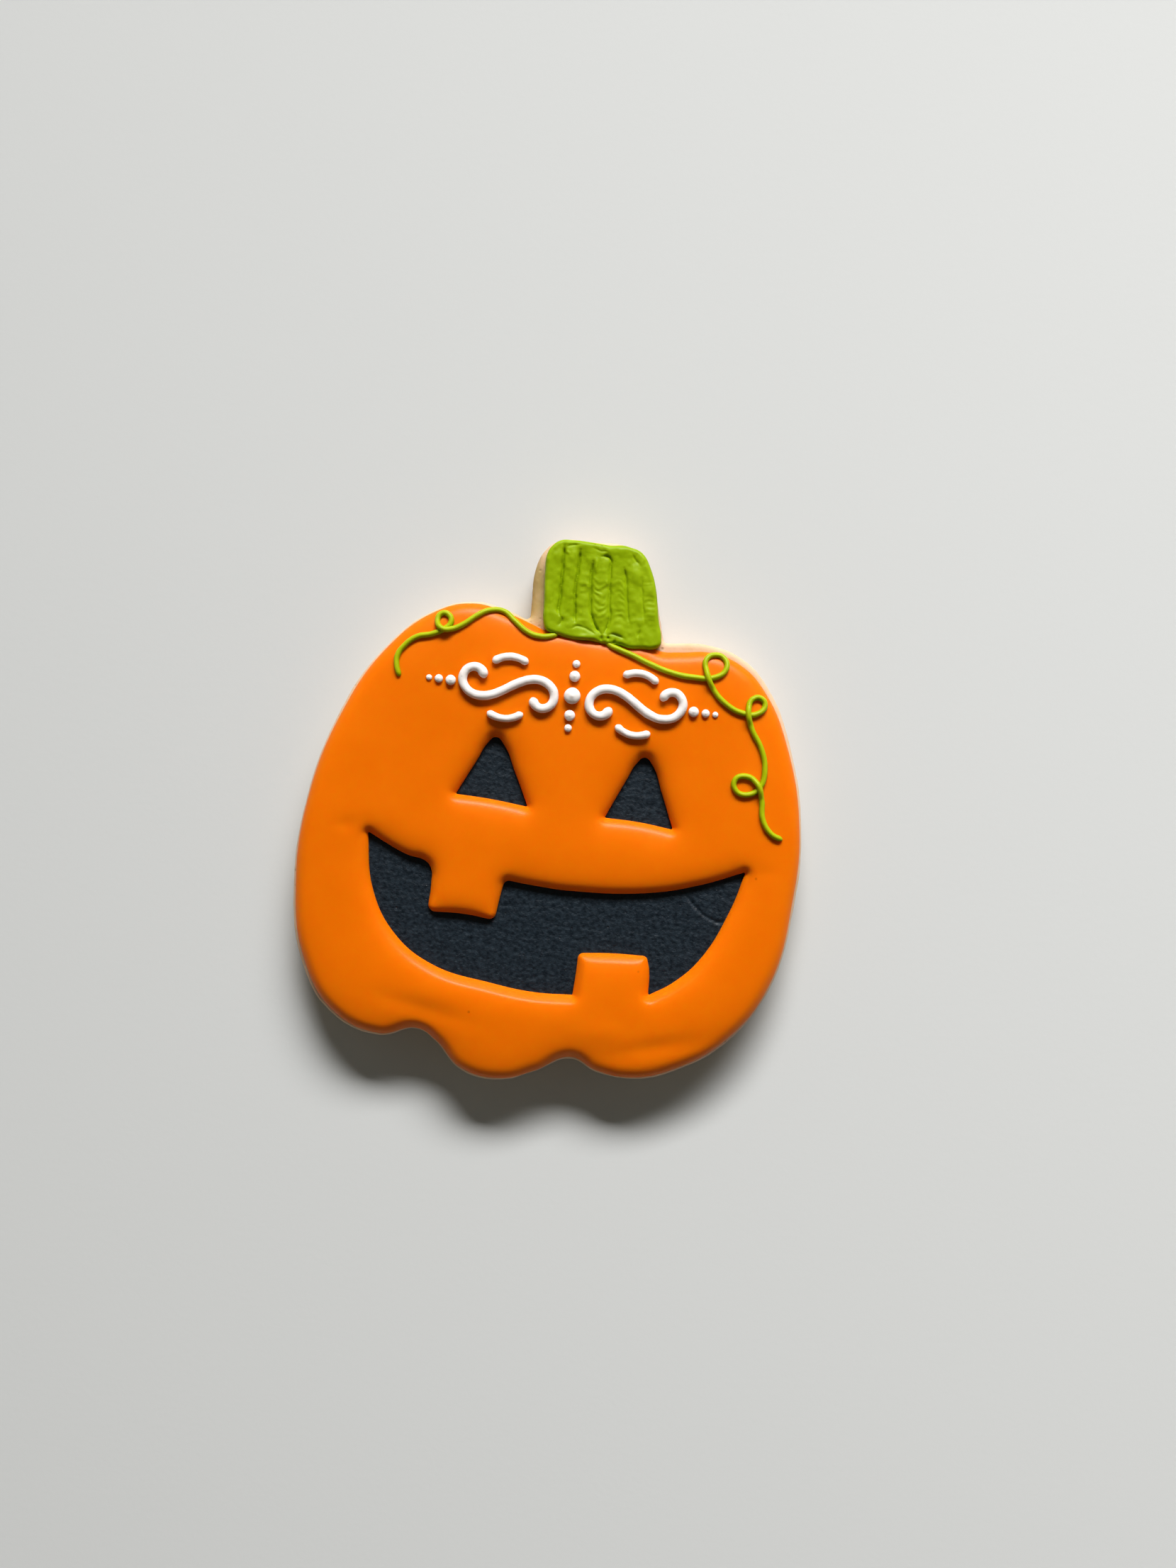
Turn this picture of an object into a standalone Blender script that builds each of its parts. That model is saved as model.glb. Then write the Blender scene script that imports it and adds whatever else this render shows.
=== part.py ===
"""An iced sugar cookie, cut as a pumpkin with a carved face, lying flat with its icing up.

A biscuit carries a flood of orange icing that is open at two eyes and a mouth, and black icing floors
those openings. The stem is a block of green ropes piped side by side. Two green tendrils run from it
across the orange, and a symmetrical flourish of white scrolls and beads lies on the forehead.

The origin is on the table under the middle of the biscuit. +X is to the right of the face, +Y runs up
to the stem and +Z comes out of the icing. Sizes are in millimetres, and become metres as they are placed.
"""

import math

import bmesh
import bpy
import numpy as np
from mathutils import Matrix, Vector
from mathutils.geometry import delaunay_2d_cdt, interpolate_bezier

MM = 0.001

# Layers, upwards from the table
BISCUIT_THICKNESS = 7.5
BISCUIT_EDGE = 0.8
LAYER_GAP = 0.3
ICING_BASE = BISCUIT_THICKNESS + LAYER_GAP
ORANGE_THICKNESS = 2.2
BLACK_THICKNESS = 0.5
STEM_BED_THICKNESS = 1.7

# How icing rolls over at a rim: the width of the roll, and the share of the thickness that stands upright
ORANGE_ROLL, ORANGE_UPRIGHT = 2.8, 0.25
BLACK_ROLL, BLACK_UPRIGHT = 0.8, 0.7
STEM_ROLL, STEM_UPRIGHT = 0.5, 0.9

# Rings of points that follow the rims, as shares of the roll
ORANGE_RINGS = (0.12, 0.4, 1.0)
PLAIN_RINGS = (1.0,)

# Piped lines
TENDRIL_RADIUS = 0.65
SCROLL_RADIUS = 0.75
COMMA_RADIUS = 0.62
PIPED_STEP = 1.15
PIPED_GAP = 0.2
TUBE_RESOLUTION = 2

# The round end of a piped line: where its points lie, in radii, and the smallest share of the area there
END_PLACES = (0.0, 0.3)
END_AREA = 0.12

# A line rests on the icing under these shares of its radius, and hops over itself along this many radii
RESTING_SHARES = (-1.0, -0.7, 0.0, 0.7, 1.0)
HOP_REACH = 1.6

# Distance between points along the outlines, and between points inland
OUTLINE_STEP = 2.6
INLAND_STEP = 9.0
TENDRIL_STEP = 0.4
SCROLL_POINTS = 121
COMMA_POINTS = 25

# A smooth handle is this fraction of its side, which makes a circle of four points
HANDLE_DIVISOR = 2.5614

# The round of a corner takes up at most this share of each side
CORNER_LIMIT = 0.45

# A ring keeps its points that are at least this share of its distance from every rim
RING_SHARE = 0.97

# Smallest squared length of the sum of two sides' directions, which limits how far a corner's point moves
CORNER_FLOOR = 0.3

# Points closer than this are one point, and faces that turn more than this meet at a sharp edge
SAME_POINT = 1e-6
SHARP_TURN = math.radians(50)

# Outlines run anticlockwise. A third number is the radius of a corner, and a tip's is the smallest
TIP = 0.2
BISCUIT_OUTLINE = [
    (2.7, 49.6), (-0.3, 47.9), (-2.3, 43.9), (-2.9, 38.5), (-3.2, 34.7, 0.8), (-7.0, 36.6), (-13.5, 38.3),
    (-20.4, 36.9), (-29.6, 30.3), (-38.3, 18.0), (-44.6, 1.5), (-46.8, -14.0), (-45.5, -27.3), (-40.0, -37.3),
    (-31.0, -41.6), (-24.0, -40.5), (-20.8, -42.6), (-16.0, -48.0), (-8.7, -49.8), (-2.4, -48.3),
    (4.2, -46.0),
    (9.0, -48.4), (15.5, -49.7), (23.1, -48.3), (32.6, -43.3), (40.8, -33.3), (45.5, -17.7), (46.8, -2.5),
    (44.6, 12.0), (40.4, 22.9), (36.0, 27.7), (29.5, 30.3), (21.5, 30.7, 0.8), (20.6, 36.0), (19.3, 43.6),
    (17.6, 47.0), (14.8, 48.5), (8.8, 49.2),
]
ORANGE_OUTLINE = [
    (1.0, 32.4), (-2.0, 33.7), (-7.0, 36.0), (-13.5, 37.9), (-20.4, 36.5), (-29.3, 30.0), (-37.9, 17.8),
    (-44.2, 1.5), (-46.3, -14.0), (-44.9, -27.0), (-39.5, -36.9), (-31.0, -41.1), (-23.8, -40.2),
    (-20.5, -42.4),
    (-15.9, -47.5), (-8.7, -49.4), (-2.4, -48.0), (4.2, -45.5), (9.0, -48.0), (15.5, -49.3), (23.1, -47.8),
    (32.5, -42.7), (40.5, -33.0), (45.2, -16.5), (46.4, -3.5), (44.0, 12.0), (40.2, 21.3), (36.0, 26.2),
    (30.0, 28.8), (21.0, 28.7), (13.5, 29.2), (6.5, 30.7),
]
MOUTH_OUTLINE = [
    (-32.9, -4.0, TIP), (-32.0, -14.5), (-28.2, -22.5), (-21.5, -28.2), (-10.0, -31.9), (-2.5, -33.5),
    (4.6, -34.0, TIP), (5.3, -29.5), (5.7, -26.3, 1.0), (12.0, -26.4), (18.3, -26.9, 1.0), (18.7, -29.6),
    (18.5, -34.1, TIP), (23.0, -31.8), (28.0, -27.5), (33.5, -18.6), (36.4, -11.5, TIP), (28.0, -13.9),
    (19.0, -15.3), (4.0, -14.9), (-2.2, -14.0), (-7.8, -12.9, 1.1), (-8.4, -15.0), (-9.7, -20.3, 1.3),
    (-15.0, -19.2), (-22.0, -18.6, 1.3), (-21.3, -13.4), (-21.3, -10.9), (-22.2, -9.5), (-25.8, -8.2),
]
EYE_OUTLINES = {
    "left": [
        (-16.8, 2.9, TIP), (-10.2, 1.9), (-3.6, 0.5, TIP), (-5.9, 6.8), (-7.9, 11.8), (-9.4, 13.3),
        (-11.0, 12.1), (-12.8, 9.2),
    ],
    "right": [
        (10.5, -1.5, TIP), (16.6, -2.3), (23.0, -3.7, TIP), (21.0, 3.0), (19.3, 8.1), (17.9, 9.5),
        (16.4, 8.4), (14.6, 5.5),
    ],
}
STEM_OUTLINE = [
    (2.6, 49.2), (0.7, 48.2), (-0.3, 46.0), (-0.5, 41.0), (-0.5, 36.5), (-0.4, 33.6, 0.9), (3.0, 32.1),
    (9.0, 30.7), (14.5, 29.6), (19.8, 29.4, 0.9), (20.8, 31.2), (20.3, 36.0), (19.2, 42.8), (17.5, 46.2),
    (15.0, 47.8), (10.7, 48.35), (6.6, 48.9),
]

# Edges of the stem's upright ropes, as X at their upper and lower ends, and the route along each end
ROPE_EDGES = [
    (0.2, -0.2), (3.1, 2.4), (5.8, 5.1), (8.5, 8.0), (11.5, 11.6), (14.5, 14.9), (17.1, 17.7), (19.2, 20.6),
]
ROPE_TOP, ROPE_BOTTOM = (46.6, 44.9), (33.6, 31.2)
ROPE_AXIS_HEIGHT = 1.55
ROPE_FLOOR = 0.05
ROPE_WIDTH_SHARE = 0.54
ROPE_STEP = 2.4
TOP_ROPE = [(1.6, 47.2), (6.0, 47.2), (10.5, 46.7), (14.6, 46.2), (16.6, 44.9)]
TOP_ROPE_RADIUS = 1.35
BOTTOM_ROPE = [(0.8, 33.8), (4.2, 32.9), (8.5, 32.1), (12.5, 31.3), (16.5, 30.6), (19.3, 30.6)]
BOTTOM_ROPE_RADIUS = 1.1

TENDRIL_ROUTES = {
    "left": [
        (-26.9, 24.4), (-27.4, 26.3), (-27.3, 28.1), (-26.0, 30.0), (-23.7, 31.6), (-20.9, 32.1),
        (-18.9, 32.9),
        (-17.5, 34.2), (-17.9, 35.6), (-19.2, 35.9), (-20.0, 34.6), (-19.1, 33.0), (-17.2, 33.0),
        (-15.1, 33.9),
        (-12.7, 35.5), (-10.3, 36.5), (-7.9, 36.3), (-6.0, 34.6), (-3.5, 32.2), (-1.4, 31.4), (0.6, 31.1),
    ],
    "right": [
        (12.6, 29.2), (15.0, 28.3), (18.3, 26.8), (22.6, 25.0), (26.9, 24.1), (30.6, 24.1), (32.6, 25.4),
        (32.6, 27.4), (30.8, 28.3), (29.1, 27.4), (29.1, 25.2), (30.4, 21.8), (32.9, 19.0), (35.6, 17.6),
        (38.2, 17.4), (39.8, 18.9), (39.1, 20.3), (37.6, 20.2), (36.7, 18.2), (37.3, 14.8), (39.0, 11.2),
        (39.7, 7.5), (38.7, 3.9), (36.3, 2.7), (34.3, 3.6), (34.3, 5.5), (36.1, 6.1), (38.1, 4.9),
        (39.1, 1.8),
        (39.3, -1.8), (40.8, -4.4), (42.8, -5.5),
    ],
}

# The flourish, in its own axes: U along it from the middle, V across it
FLOURISH_MIDDLE = (4.6, 20.7)
FLOURISH_TILT = math.radians(-7.5)
SCROLL_SPAN = (3.2, 20.2)
SCROLL_TURNS = 0.84
SCROLL_SLOPE = math.radians(-34)
COMMAS = {"upper": ((8.9, 4.9), 32, -74, 6.6), "lower": ((14.8, -4.9), 212, -74, 6.6)}
MIDDLE_BEADS = [(0.0, 0.0, 1.5), (0.0, 3.6, 1.0), (0.0, 5.9, 0.7), (0.0, -3.6, 1.0), (0.0, -5.9, 0.7)]
END_BEADS = [(22.3, 0.0, 0.95), (24.5, 0.0, 0.75), (26.3, 0.0, 0.55)]
BEAD_SQUASH = 0.62
BEAD_SEGMENTS, BEAD_RINGS = 12, 6

COLOURS = {
    "biscuit": ((0.80, 0.62, 0.40), 0.85),
    "orange_icing": ((0.84, 0.155, 0.002), 0.45),
    "black_icing": ((0.010, 0.015, 0.021), 0.8),
    "green_icing": ((0.22, 0.32, 0.003), 0.38),
    "white_icing": ((0.86, 0.80, 0.76), 0.6),
}


def clear_scene():
    for thing in list(bpy.data.objects):
        bpy.data.objects.remove(thing, do_unlink=True)


def material(name):
    colour, roughness = COLOURS[name]
    made = bpy.data.materials.get(name) or bpy.data.materials.new(name)
    made.use_nodes = True
    shader = made.node_tree.nodes["Principled BSDF"]
    shader.inputs["Base Color"].default_value = (*colour, 1.0)
    shader.inputs["Roughness"].default_value = roughness
    shader.inputs["Metallic"].default_value = 0.0
    return made


def add_part(name, data, finish, collection):
    part = bpy.data.objects.new(name, data)
    data.materials.clear()
    data.materials.append(material(finish))
    collection.objects.link(part)
    return part


# Outlines and routes


def bezier_knots(anchors, closed):
    """(handle, point, handle) along the smooth line through the anchors, with the ends of a corner's arc."""
    knots = []
    for index, anchor in enumerate(anchors):
        point = Vector(anchor[:2])
        before = Vector(anchors[index - 1][:2])
        after = Vector(anchors[(index + 1) % len(anchors)][:2])
        if not closed and index == 0:
            knots.append((point, point, point.lerp(after, 1 / 3)))
            continue
        if not closed and index == len(anchors) - 1:
            knots.append((point.lerp(before, 1 / 3), point, point))
            continue
        back, ahead = (point - before).length, (after - point).length
        arriving, leaving = (point - before) / back, (after - point) / ahead
        if len(anchor) == 2:
            along = (arriving + leaving).normalized() / HANDLE_DIVISOR
            knots.append((point - along * back, point, point + along * ahead))
            continue
        if not anchor[2]:
            knots.append((point - arriving * back / 3, point, point + leaving * ahead / 3))
            continue
        half_turn = arriving.angle(leaving) / 2
        cut = min(anchor[2] * math.tan(half_turn), CORNER_LIMIT * back, CORNER_LIMIT * ahead)
        handle = 4 / 3 * math.tan(half_turn / 2) * cut / math.tan(half_turn)
        start, end = point - arriving * cut, point + leaving * cut
        knots.append((start - arriving * (back - cut) / 3, start, start + arriving * handle))
        knots.append((end - leaving * handle, end, end + leaving * (ahead - cut) / 3))
    return knots


def traced(anchors, step, closed=True):
    """Points along the smooth line through the anchors, a step or less apart, two or more to each stretch."""
    knots = bezier_knots(anchors, closed)
    following = knots[1:] + knots[:1] if closed else knots[1:]
    points = []
    for (_, start, leaving), (arriving, end, _) in zip(knots, following):
        pieces = max(2, math.ceil((end - start).length / step))
        points += interpolate_bezier(start, leaving, arriving, end, pieces + 1)[:-1]
    if not closed:
        points.append(knots[-1][1])
    return np.array([point[:2] for point in points])


def distance_to(rims, points):
    """Distance from each point to the nearest rim."""
    nearest = np.full(len(points), np.inf)
    for rim in rims:
        side = np.roll(rim, -1, axis=0) - rim
        offset = points[:, None] - rim[None]
        share = np.clip((offset * side).sum(2) / (side**2).sum(1), 0, 1)
        nearest = np.minimum(nearest, np.linalg.norm(offset - share[..., None] * side, axis=2).min(1))
    return nearest


def between(rims, points):
    """Whether each point is inside the first rim and outside the others, from how often its ray crosses."""
    crossings = np.zeros(len(points), int)
    for rim in rims:
        ahead = np.roll(rim, -1, axis=0)
        x, y = points[:, :1], points[:, 1:]
        spans = (rim[:, 1] > y) != (ahead[:, 1] > y)
        rise = np.where(ahead[:, 1] == rim[:, 1], 1.0, ahead[:, 1] - rim[:, 1])
        crossings += (spans & (x < rim[:, 0] + (y - rim[:, 1]) / rise * (ahead[:, 0] - rim[:, 0]))).sum(1)
    return crossings % 2 == 1


# Flooded icing


def rolled_height(distance, thickness, roll, upright):
    """Height of flooded icing at a distance from its rim: an upright edge, then a quarter of an ellipse."""
    share = np.clip(distance / roll, 0, 1)
    return thickness * (upright + (1 - upright) * np.sqrt(1 - (1 - share) ** 2))


def ring(rim, distance):
    """The rim's points moved inland, far enough at a corner to keep the distance to both of its sides."""
    side = np.roll(rim, -1, axis=0) - rim
    side /= np.linalg.norm(side, axis=1)[:, None]
    both = side + np.roll(side, 1, axis=0)
    stretch = distance * 2 / np.maximum((both**2).sum(1), CORNER_FLOOR)
    return rim + np.c_[-both[:, 1], both[:, 0]] * stretch[:, None]


def kept(rims, points, distance):
    """The points that are at least about that far from every rim."""
    return points[distance_to(rims, points) > RING_SHARE * distance]


def triangles(points, rims):
    """Triangles of the sheet between the rims, whose points come first."""
    edges = []
    start = 0
    for rim in rims:
        edges += [(start + i, start + (i + 1) % len(rim)) for i in range(len(rim))]
        start += len(rim)
    found = delaunay_2d_cdt([Vector(point) for point in points], edges, [], 0, SAME_POINT)
    source = [origins[0] for origins in found[3]]
    corners = np.array([[source[i] for i in face] for face in found[2]])
    return corners[between(rims, points[corners].mean(axis=1))]


def flood(name, rims, thickness, roll, upright, rings, finish, collection):
    """Icing run out between its rims: level inland, rolled over at every rim, and flat underneath."""
    rim_points = np.concatenate(rims)
    inland = [kept(rims, ring(rim, share * roll), share * roll) for share in rings for rim in rims]
    low, high = rim_points.min(axis=0), rim_points.max(axis=0)
    columns, rows = np.meshgrid(*(np.arange(a + INLAND_STEP / 2, b, INLAND_STEP) for a, b in zip(low, high)))
    grid = np.c_[columns.ravel(), rows.ravel()]
    grid = grid[between(rims, grid)]
    inland.append(grid[distance_to(rims, grid) > roll + INLAND_STEP / 4])
    points = np.concatenate([rim_points, *inland])
    height = rolled_height(distance_to(rims, points), thickness, roll, upright)
    top = triangles(points, rims)
    under = triangles(rim_points, rims)[:, ::-1] + len(points)
    walls = []
    start = 0
    for rim in rims:
        for i in range(len(rim)):
            here, there = start + i, start + (i + 1) % len(rim)
            walls.append((here + len(points), there + len(points), there, here))
        start += len(rim)
    low_rims = np.c_[rim_points, np.full(len(rim_points), ICING_BASE)]
    vertices = np.r_[np.c_[points, ICING_BASE + height], low_rims]
    mesh = bpy.data.meshes.new(name)
    mesh.from_pydata((vertices * MM).tolist(), [], top.tolist() + under.tolist() + walls)
    facing_out(mesh)
    mesh.set_sharp_from_angle(angle=SHARP_TURN)
    return add_part(name, mesh, finish, collection)


def facing_out(mesh):
    shape = bmesh.new()
    shape.from_mesh(mesh)
    bmesh.ops.recalc_face_normals(shape, faces=shape.faces)
    shape.to_mesh(mesh)
    shape.free()
    mesh.shade_smooth()


# Piped icing


def stations(length, radius, step):
    """Distances along a piped line: close together at its two round ends, then even."""
    inner = np.linspace(radius, length - radius, max(2, round((length - 2 * radius) / step)) + 1)
    start = np.array(END_PLACES) * radius
    return np.concatenate([start, inner, length - start[::-1]])


def rounded(distances, length, radius):
    """Radius at each distance along a line with round ends."""
    from_end = np.clip(np.minimum(distances, length - distances) / radius, 0, 1)
    return radius * np.sqrt(np.maximum(1 - (1 - from_end) ** 2, END_AREA))


def tube(name, points, radii):
    """A curve object with filled ends that follows the points."""
    curve = bpy.data.curves.new(name, "CURVE")
    curve.dimensions = "3D"
    curve.bevel_depth = MM
    curve.bevel_resolution = TUBE_RESOLUTION
    curve.use_fill_caps = True
    spline = curve.splines.new("POLY")
    spline.points.add(len(points) - 1)
    for knot, point, radius in zip(spline.points, points, radii):
        knot.co = (*(Vector(point) * MM), 1.0)
        knot.radius = radius
    spline.use_smooth = True
    return curve


def walked(route):
    """(distance along the route at each of its points, length)."""
    distances = np.r_[0, np.cumsum(np.linalg.norm(np.diff(route, axis=0), axis=1))]
    return distances, distances[-1]


def crossings(route, distances):
    """Distances at which the route passes over an earlier stretch of itself."""
    found = []
    start, side = route[:-1], np.diff(route, axis=0)
    for later in range(2, len(side)):
        for earlier in range(later - 1):
            turn = side[later][0] * side[earlier][1] - side[later][1] * side[earlier][0]
            offset = start[earlier] - start[later]
            if turn == 0:
                continue
            share = (offset[0] * side[earlier][1] - offset[1] * side[earlier][0]) / turn
            other = (offset[0] * side[later][1] - offset[1] * side[later][0]) / turn
            if 0 <= share < 1 and 0 <= other < 1:
                found.append(distances[later] + share * np.linalg.norm(side[later]))
    return found


def orange_surface(points, rims):
    return ICING_BASE + np.where(
        between(rims, points),
        rolled_height(distance_to(rims, points), ORANGE_THICKNESS, ORANGE_ROLL, ORANGE_UPRIGHT),
        0.0,
    )


def axis_height(route, radii, rims):
    """Height at which a round line just clears the icing under its full width."""
    along = np.gradient(route, axis=0)
    along /= np.linalg.norm(along, axis=1)[:, None]
    across = np.c_[-along[:, 1], along[:, 0]] * radii[:, None]
    height = np.zeros(len(route))
    for share in RESTING_SHARES:
        under = orange_surface(route + share * across, rims) + radii * math.sqrt(1 - share**2)
        height = np.maximum(height, under)
    return height + PIPED_GAP


def piped_line(name, route, radius, rims, finish, collection):
    """A line piped on the orange icing. Where it crosses itself, the later stretch hops over."""
    distances, length = walked(route)
    places = stations(length, radius, PIPED_STEP)
    line = np.c_[np.interp(places, distances, route[:, 0]), np.interp(places, distances, route[:, 1])]
    radii = rounded(places, length, radius)
    height = axis_height(line, radii, rims)
    hop = 2 * radius + PIPED_GAP / 2
    for crossing in crossings(route, distances):
        height += hop * np.exp(-(((places - crossing) / (HOP_REACH * radius + PIPED_STEP)) ** 4))
    return add_part(name, tube(name, np.c_[line, height], radii), finish, collection)


def bead(name, place, radius, rims, finish, collection):
    """A dot of icing, squashed under its own weight."""
    shape = bmesh.new()
    bmesh.ops.create_uvsphere(
        shape, u_segments=BEAD_SEGMENTS, v_segments=BEAD_RINGS, radius=radius * MM)
    surface = orange_surface(np.array([place]), rims)[0]
    height = surface + PIPED_GAP + radius * BEAD_SQUASH
    squashed = Matrix.Diagonal((1.0, 1.0, BEAD_SQUASH, 1.0))
    placed = Matrix.Translation(Vector((*place, height)) * MM)
    bmesh.ops.transform(shape, matrix=placed @ squashed, verts=shape.verts)
    mesh = bpy.data.meshes.new(name)
    shape.to_mesh(mesh)
    shape.free()
    mesh.shade_smooth()
    return add_part(name, mesh, finish, collection)


# The pieces


def make_biscuit(collection):
    curve = bpy.data.curves.new("biscuit", "CURVE")
    curve.dimensions = "2D"
    curve.fill_mode = "BOTH"
    curve.bevel_depth = BISCUIT_EDGE * MM
    curve.bevel_resolution = 1
    curve.offset = -BISCUIT_EDGE * MM
    curve.extrude = (BISCUIT_THICKNESS / 2 - BISCUIT_EDGE) * MM
    outline = traced(BISCUIT_OUTLINE, OUTLINE_STEP)
    spline = curve.splines.new("POLY")
    spline.points.add(len(outline) - 1)
    for knot, (x, y) in zip(spline.points, outline):
        knot.co = (x * MM, y * MM, 0.0, 1.0)
    spline.use_cyclic_u = True
    biscuit = add_part("biscuit", curve, "biscuit", collection)
    biscuit.location.z = BISCUIT_THICKNESS / 2 * MM
    return biscuit


def make_orange(collection):
    """The orange flood. Returns its rims, which the piped lines rest on."""
    outer = traced(ORANGE_OUTLINE, OUTLINE_STEP)
    openings = [traced(outline, OUTLINE_STEP)[::-1] for outline in (MOUTH_OUTLINE, *EYE_OUTLINES.values())]
    rims = [outer, *openings]
    flood("orange_icing", rims, ORANGE_THICKNESS, ORANGE_ROLL, ORANGE_UPRIGHT, ORANGE_RINGS,
          "orange_icing", collection)
    return rims


def make_face_floors(collection):
    """Black icing in the mouth and the eyes, a gap short of the orange rims and pointed at every tip."""
    for name, outline in {
        "mouth_icing": MOUTH_OUTLINE,
        "eye_icing_left": EYE_OUTLINES["left"],
        "eye_icing_right": EYE_OUTLINES["right"],
    }.items():
        pointed = [(*anchor[:2], 0) if anchor[2:] == (TIP,) else anchor for anchor in outline]
        edge = traced(pointed, OUTLINE_STEP)
        rim = kept([edge], ring(edge, LAYER_GAP), LAYER_GAP)
        flood(name, [rim], BLACK_THICKNESS, BLACK_ROLL, BLACK_UPRIGHT, PLAIN_RINGS, "black_icing", collection)


def rope_routes():
    """(route, radius) of every rope of the stem: the upright ones side by side, then those along its ends."""
    ropes = []
    for (left_top, left_low), (right_top, right_low) in zip(ROPE_EDGES, ROPE_EDGES[1:]):
        top, low = (left_top + right_top) / 2, (left_low + right_low) / 2
        width = (right_top - left_top + right_low - left_low) / 2
        reach = (top - ROPE_EDGES[0][0]) / (ROPE_EDGES[-1][0] - ROPE_EDGES[0][0])
        upper = ROPE_TOP[0] + reach * (ROPE_TOP[1] - ROPE_TOP[0])
        lower = ROPE_BOTTOM[0] + reach * (ROPE_BOTTOM[1] - ROPE_BOTTOM[0])
        route = np.array([(top, upper), ((top + low) / 2, (upper + lower) / 2), (low, lower)])
        ropes.append((route, ROPE_WIDTH_SHARE * width))
    ropes.append((traced(TOP_ROPE, ROPE_STEP, closed=False), TOP_ROPE_RADIUS))
    ropes.append((traced(BOTTOM_ROPE, ROPE_STEP, closed=False), BOTTOM_ROPE_RADIUS))
    return ropes


def make_stem(collection):
    """A bed of green icing with its ropes, joined into one solid."""
    rim = traced(STEM_OUTLINE, OUTLINE_STEP)
    bed = flood("stem_icing", [rim], STEM_BED_THICKNESS, STEM_ROLL, STEM_UPRIGHT, PLAIN_RINGS,
                "green_icing", collection)
    ropes = bpy.data.collections.new("stem_ropes")
    bpy.context.scene.collection.children.link(ropes)
    for number, (route, radius) in enumerate(rope_routes()):
        distances, length = walked(route)
        places = stations(length, radius, ROPE_STEP)
        line = np.c_[np.interp(places, distances, route[:, 0]), np.interp(places, distances, route[:, 1])]
        height = np.full(len(places), ICING_BASE + max(ROPE_AXIS_HEIGHT, radius + ROPE_FLOOR))
        curve = tube("rope", np.c_[line, height], rounded(places, length, radius))
        rope = bpy.data.objects.new(f"rope_{number}", curve)
        ropes.objects.link(rope)
    bpy.context.view_layer.update()
    graph = bpy.context.evaluated_depsgraph_get()
    for rope in list(ropes.objects):
        mesh = bpy.data.meshes.new_from_object(rope.evaluated_get(graph))
        welded = bmesh.new()
        welded.from_mesh(mesh)
        bmesh.ops.remove_doubles(welded, verts=welded.verts, dist=SAME_POINT)
        bmesh.ops.recalc_face_normals(welded, faces=welded.faces)
        welded.to_mesh(mesh)
        welded.free()
        ropes.objects.link(bpy.data.objects.new(rope.name + "_solid", mesh))
        bpy.data.objects.remove(rope, do_unlink=True)
    union = bed.modifiers.new("ropes", "BOOLEAN")
    union.operation = "UNION"
    union.operand_type = "COLLECTION"
    union.collection = ropes
    bpy.context.view_layer.update()
    joined = bpy.data.meshes.new_from_object(bed.evaluated_get(bpy.context.evaluated_depsgraph_get()))
    bed.modifiers.clear()
    bed.data = joined
    joined.materials.clear()
    joined.materials.append(material("green_icing"))
    for rope in list(ropes.objects):
        bpy.data.objects.remove(rope, do_unlink=True)
    bpy.data.collections.remove(ropes)
    return bed


def on_forehead(points, side=1):
    """Points of the flourish's own axes, on the icing. The left half is the right one mirrored."""
    turn = np.array([[math.cos(FLOURISH_TILT), math.sin(FLOURISH_TILT)],
                     [-math.sin(FLOURISH_TILT), math.cos(FLOURISH_TILT)]])
    return np.array(FLOURISH_MIDDLE) + np.array(points) * (side, 1) @ turn


def walk(headings, length):
    """The route that starts at the origin and takes even steps along the headings."""
    steps = np.c_[np.cos(headings), np.sin(headings)] * length / (len(headings) - 1)
    return np.r_[[(0.0, 0.0)], np.cumsum((steps[1:] + steps[:-1]) / 2, axis=0)]


def scroll_route():
    """A scroll whose bend grows evenly both ways from its middle, so that it curls up at both ends."""
    share = np.linspace(-1, 1, SCROLL_POINTS)
    route = walk(SCROLL_SLOPE + SCROLL_TURNS * math.tau * share**2, 1.0)
    scale = (SCROLL_SPAN[1] - SCROLL_SPAN[0]) / np.ptp(route[:, 0])
    low, high = route.min(axis=0), route.max(axis=0)
    return (route - (low[0], (low[1] + high[1]) / 2)) * scale + (SCROLL_SPAN[0], 0.0)


def comma_route(start, heading, turn, length):
    headings = np.radians(heading + turn * np.linspace(0, 1, COMMA_POINTS))
    return np.array(start) + walk(headings, length)


def make_flourish(rims, collection):
    for side, name in ((-1, "left"), (1, "right")):
        route = on_forehead(scroll_route(), side)
        piped_line(f"scroll_{name}", route, SCROLL_RADIUS, rims, "white_icing", collection)
        for place, shape in COMMAS.items():
            route = on_forehead(comma_route(*shape), side)
            piped_line(f"comma_{place}_{name}", route, COMMA_RADIUS, rims, "white_icing", collection)
        for number, (u, v, radius) in enumerate(END_BEADS, 1):
            place = on_forehead([(u, v)], side)[0]
            bead(f"bead_{name}_{number}", place, radius, rims, "white_icing", collection)
    for number, (u, v, radius) in enumerate(MIDDLE_BEADS, 1):
        bead(f"bead_middle_{number}", on_forehead([(u, v)])[0], radius, rims, "white_icing", collection)


def make_cookie():
    clear_scene()
    cookie = bpy.data.collections.new("iced_sugar_cookie")
    bpy.context.scene.collection.children.link(cookie)
    make_biscuit(cookie)
    rims = make_orange(cookie)
    make_face_floors(cookie)
    make_stem(cookie)
    for side, route in TENDRIL_ROUTES.items():
        line = traced(route, TENDRIL_STEP, closed=False)
        piped_line(f"tendril_{side}", line, TENDRIL_RADIUS, rims, "green_icing", cookie)
    make_flourish(rims, cookie)


make_cookie()
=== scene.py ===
import math

import bmesh
import bpy
import numpy as np
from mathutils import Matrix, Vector
from mathutils.geometry import delaunay_2d_cdt, interpolate_bezier


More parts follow.
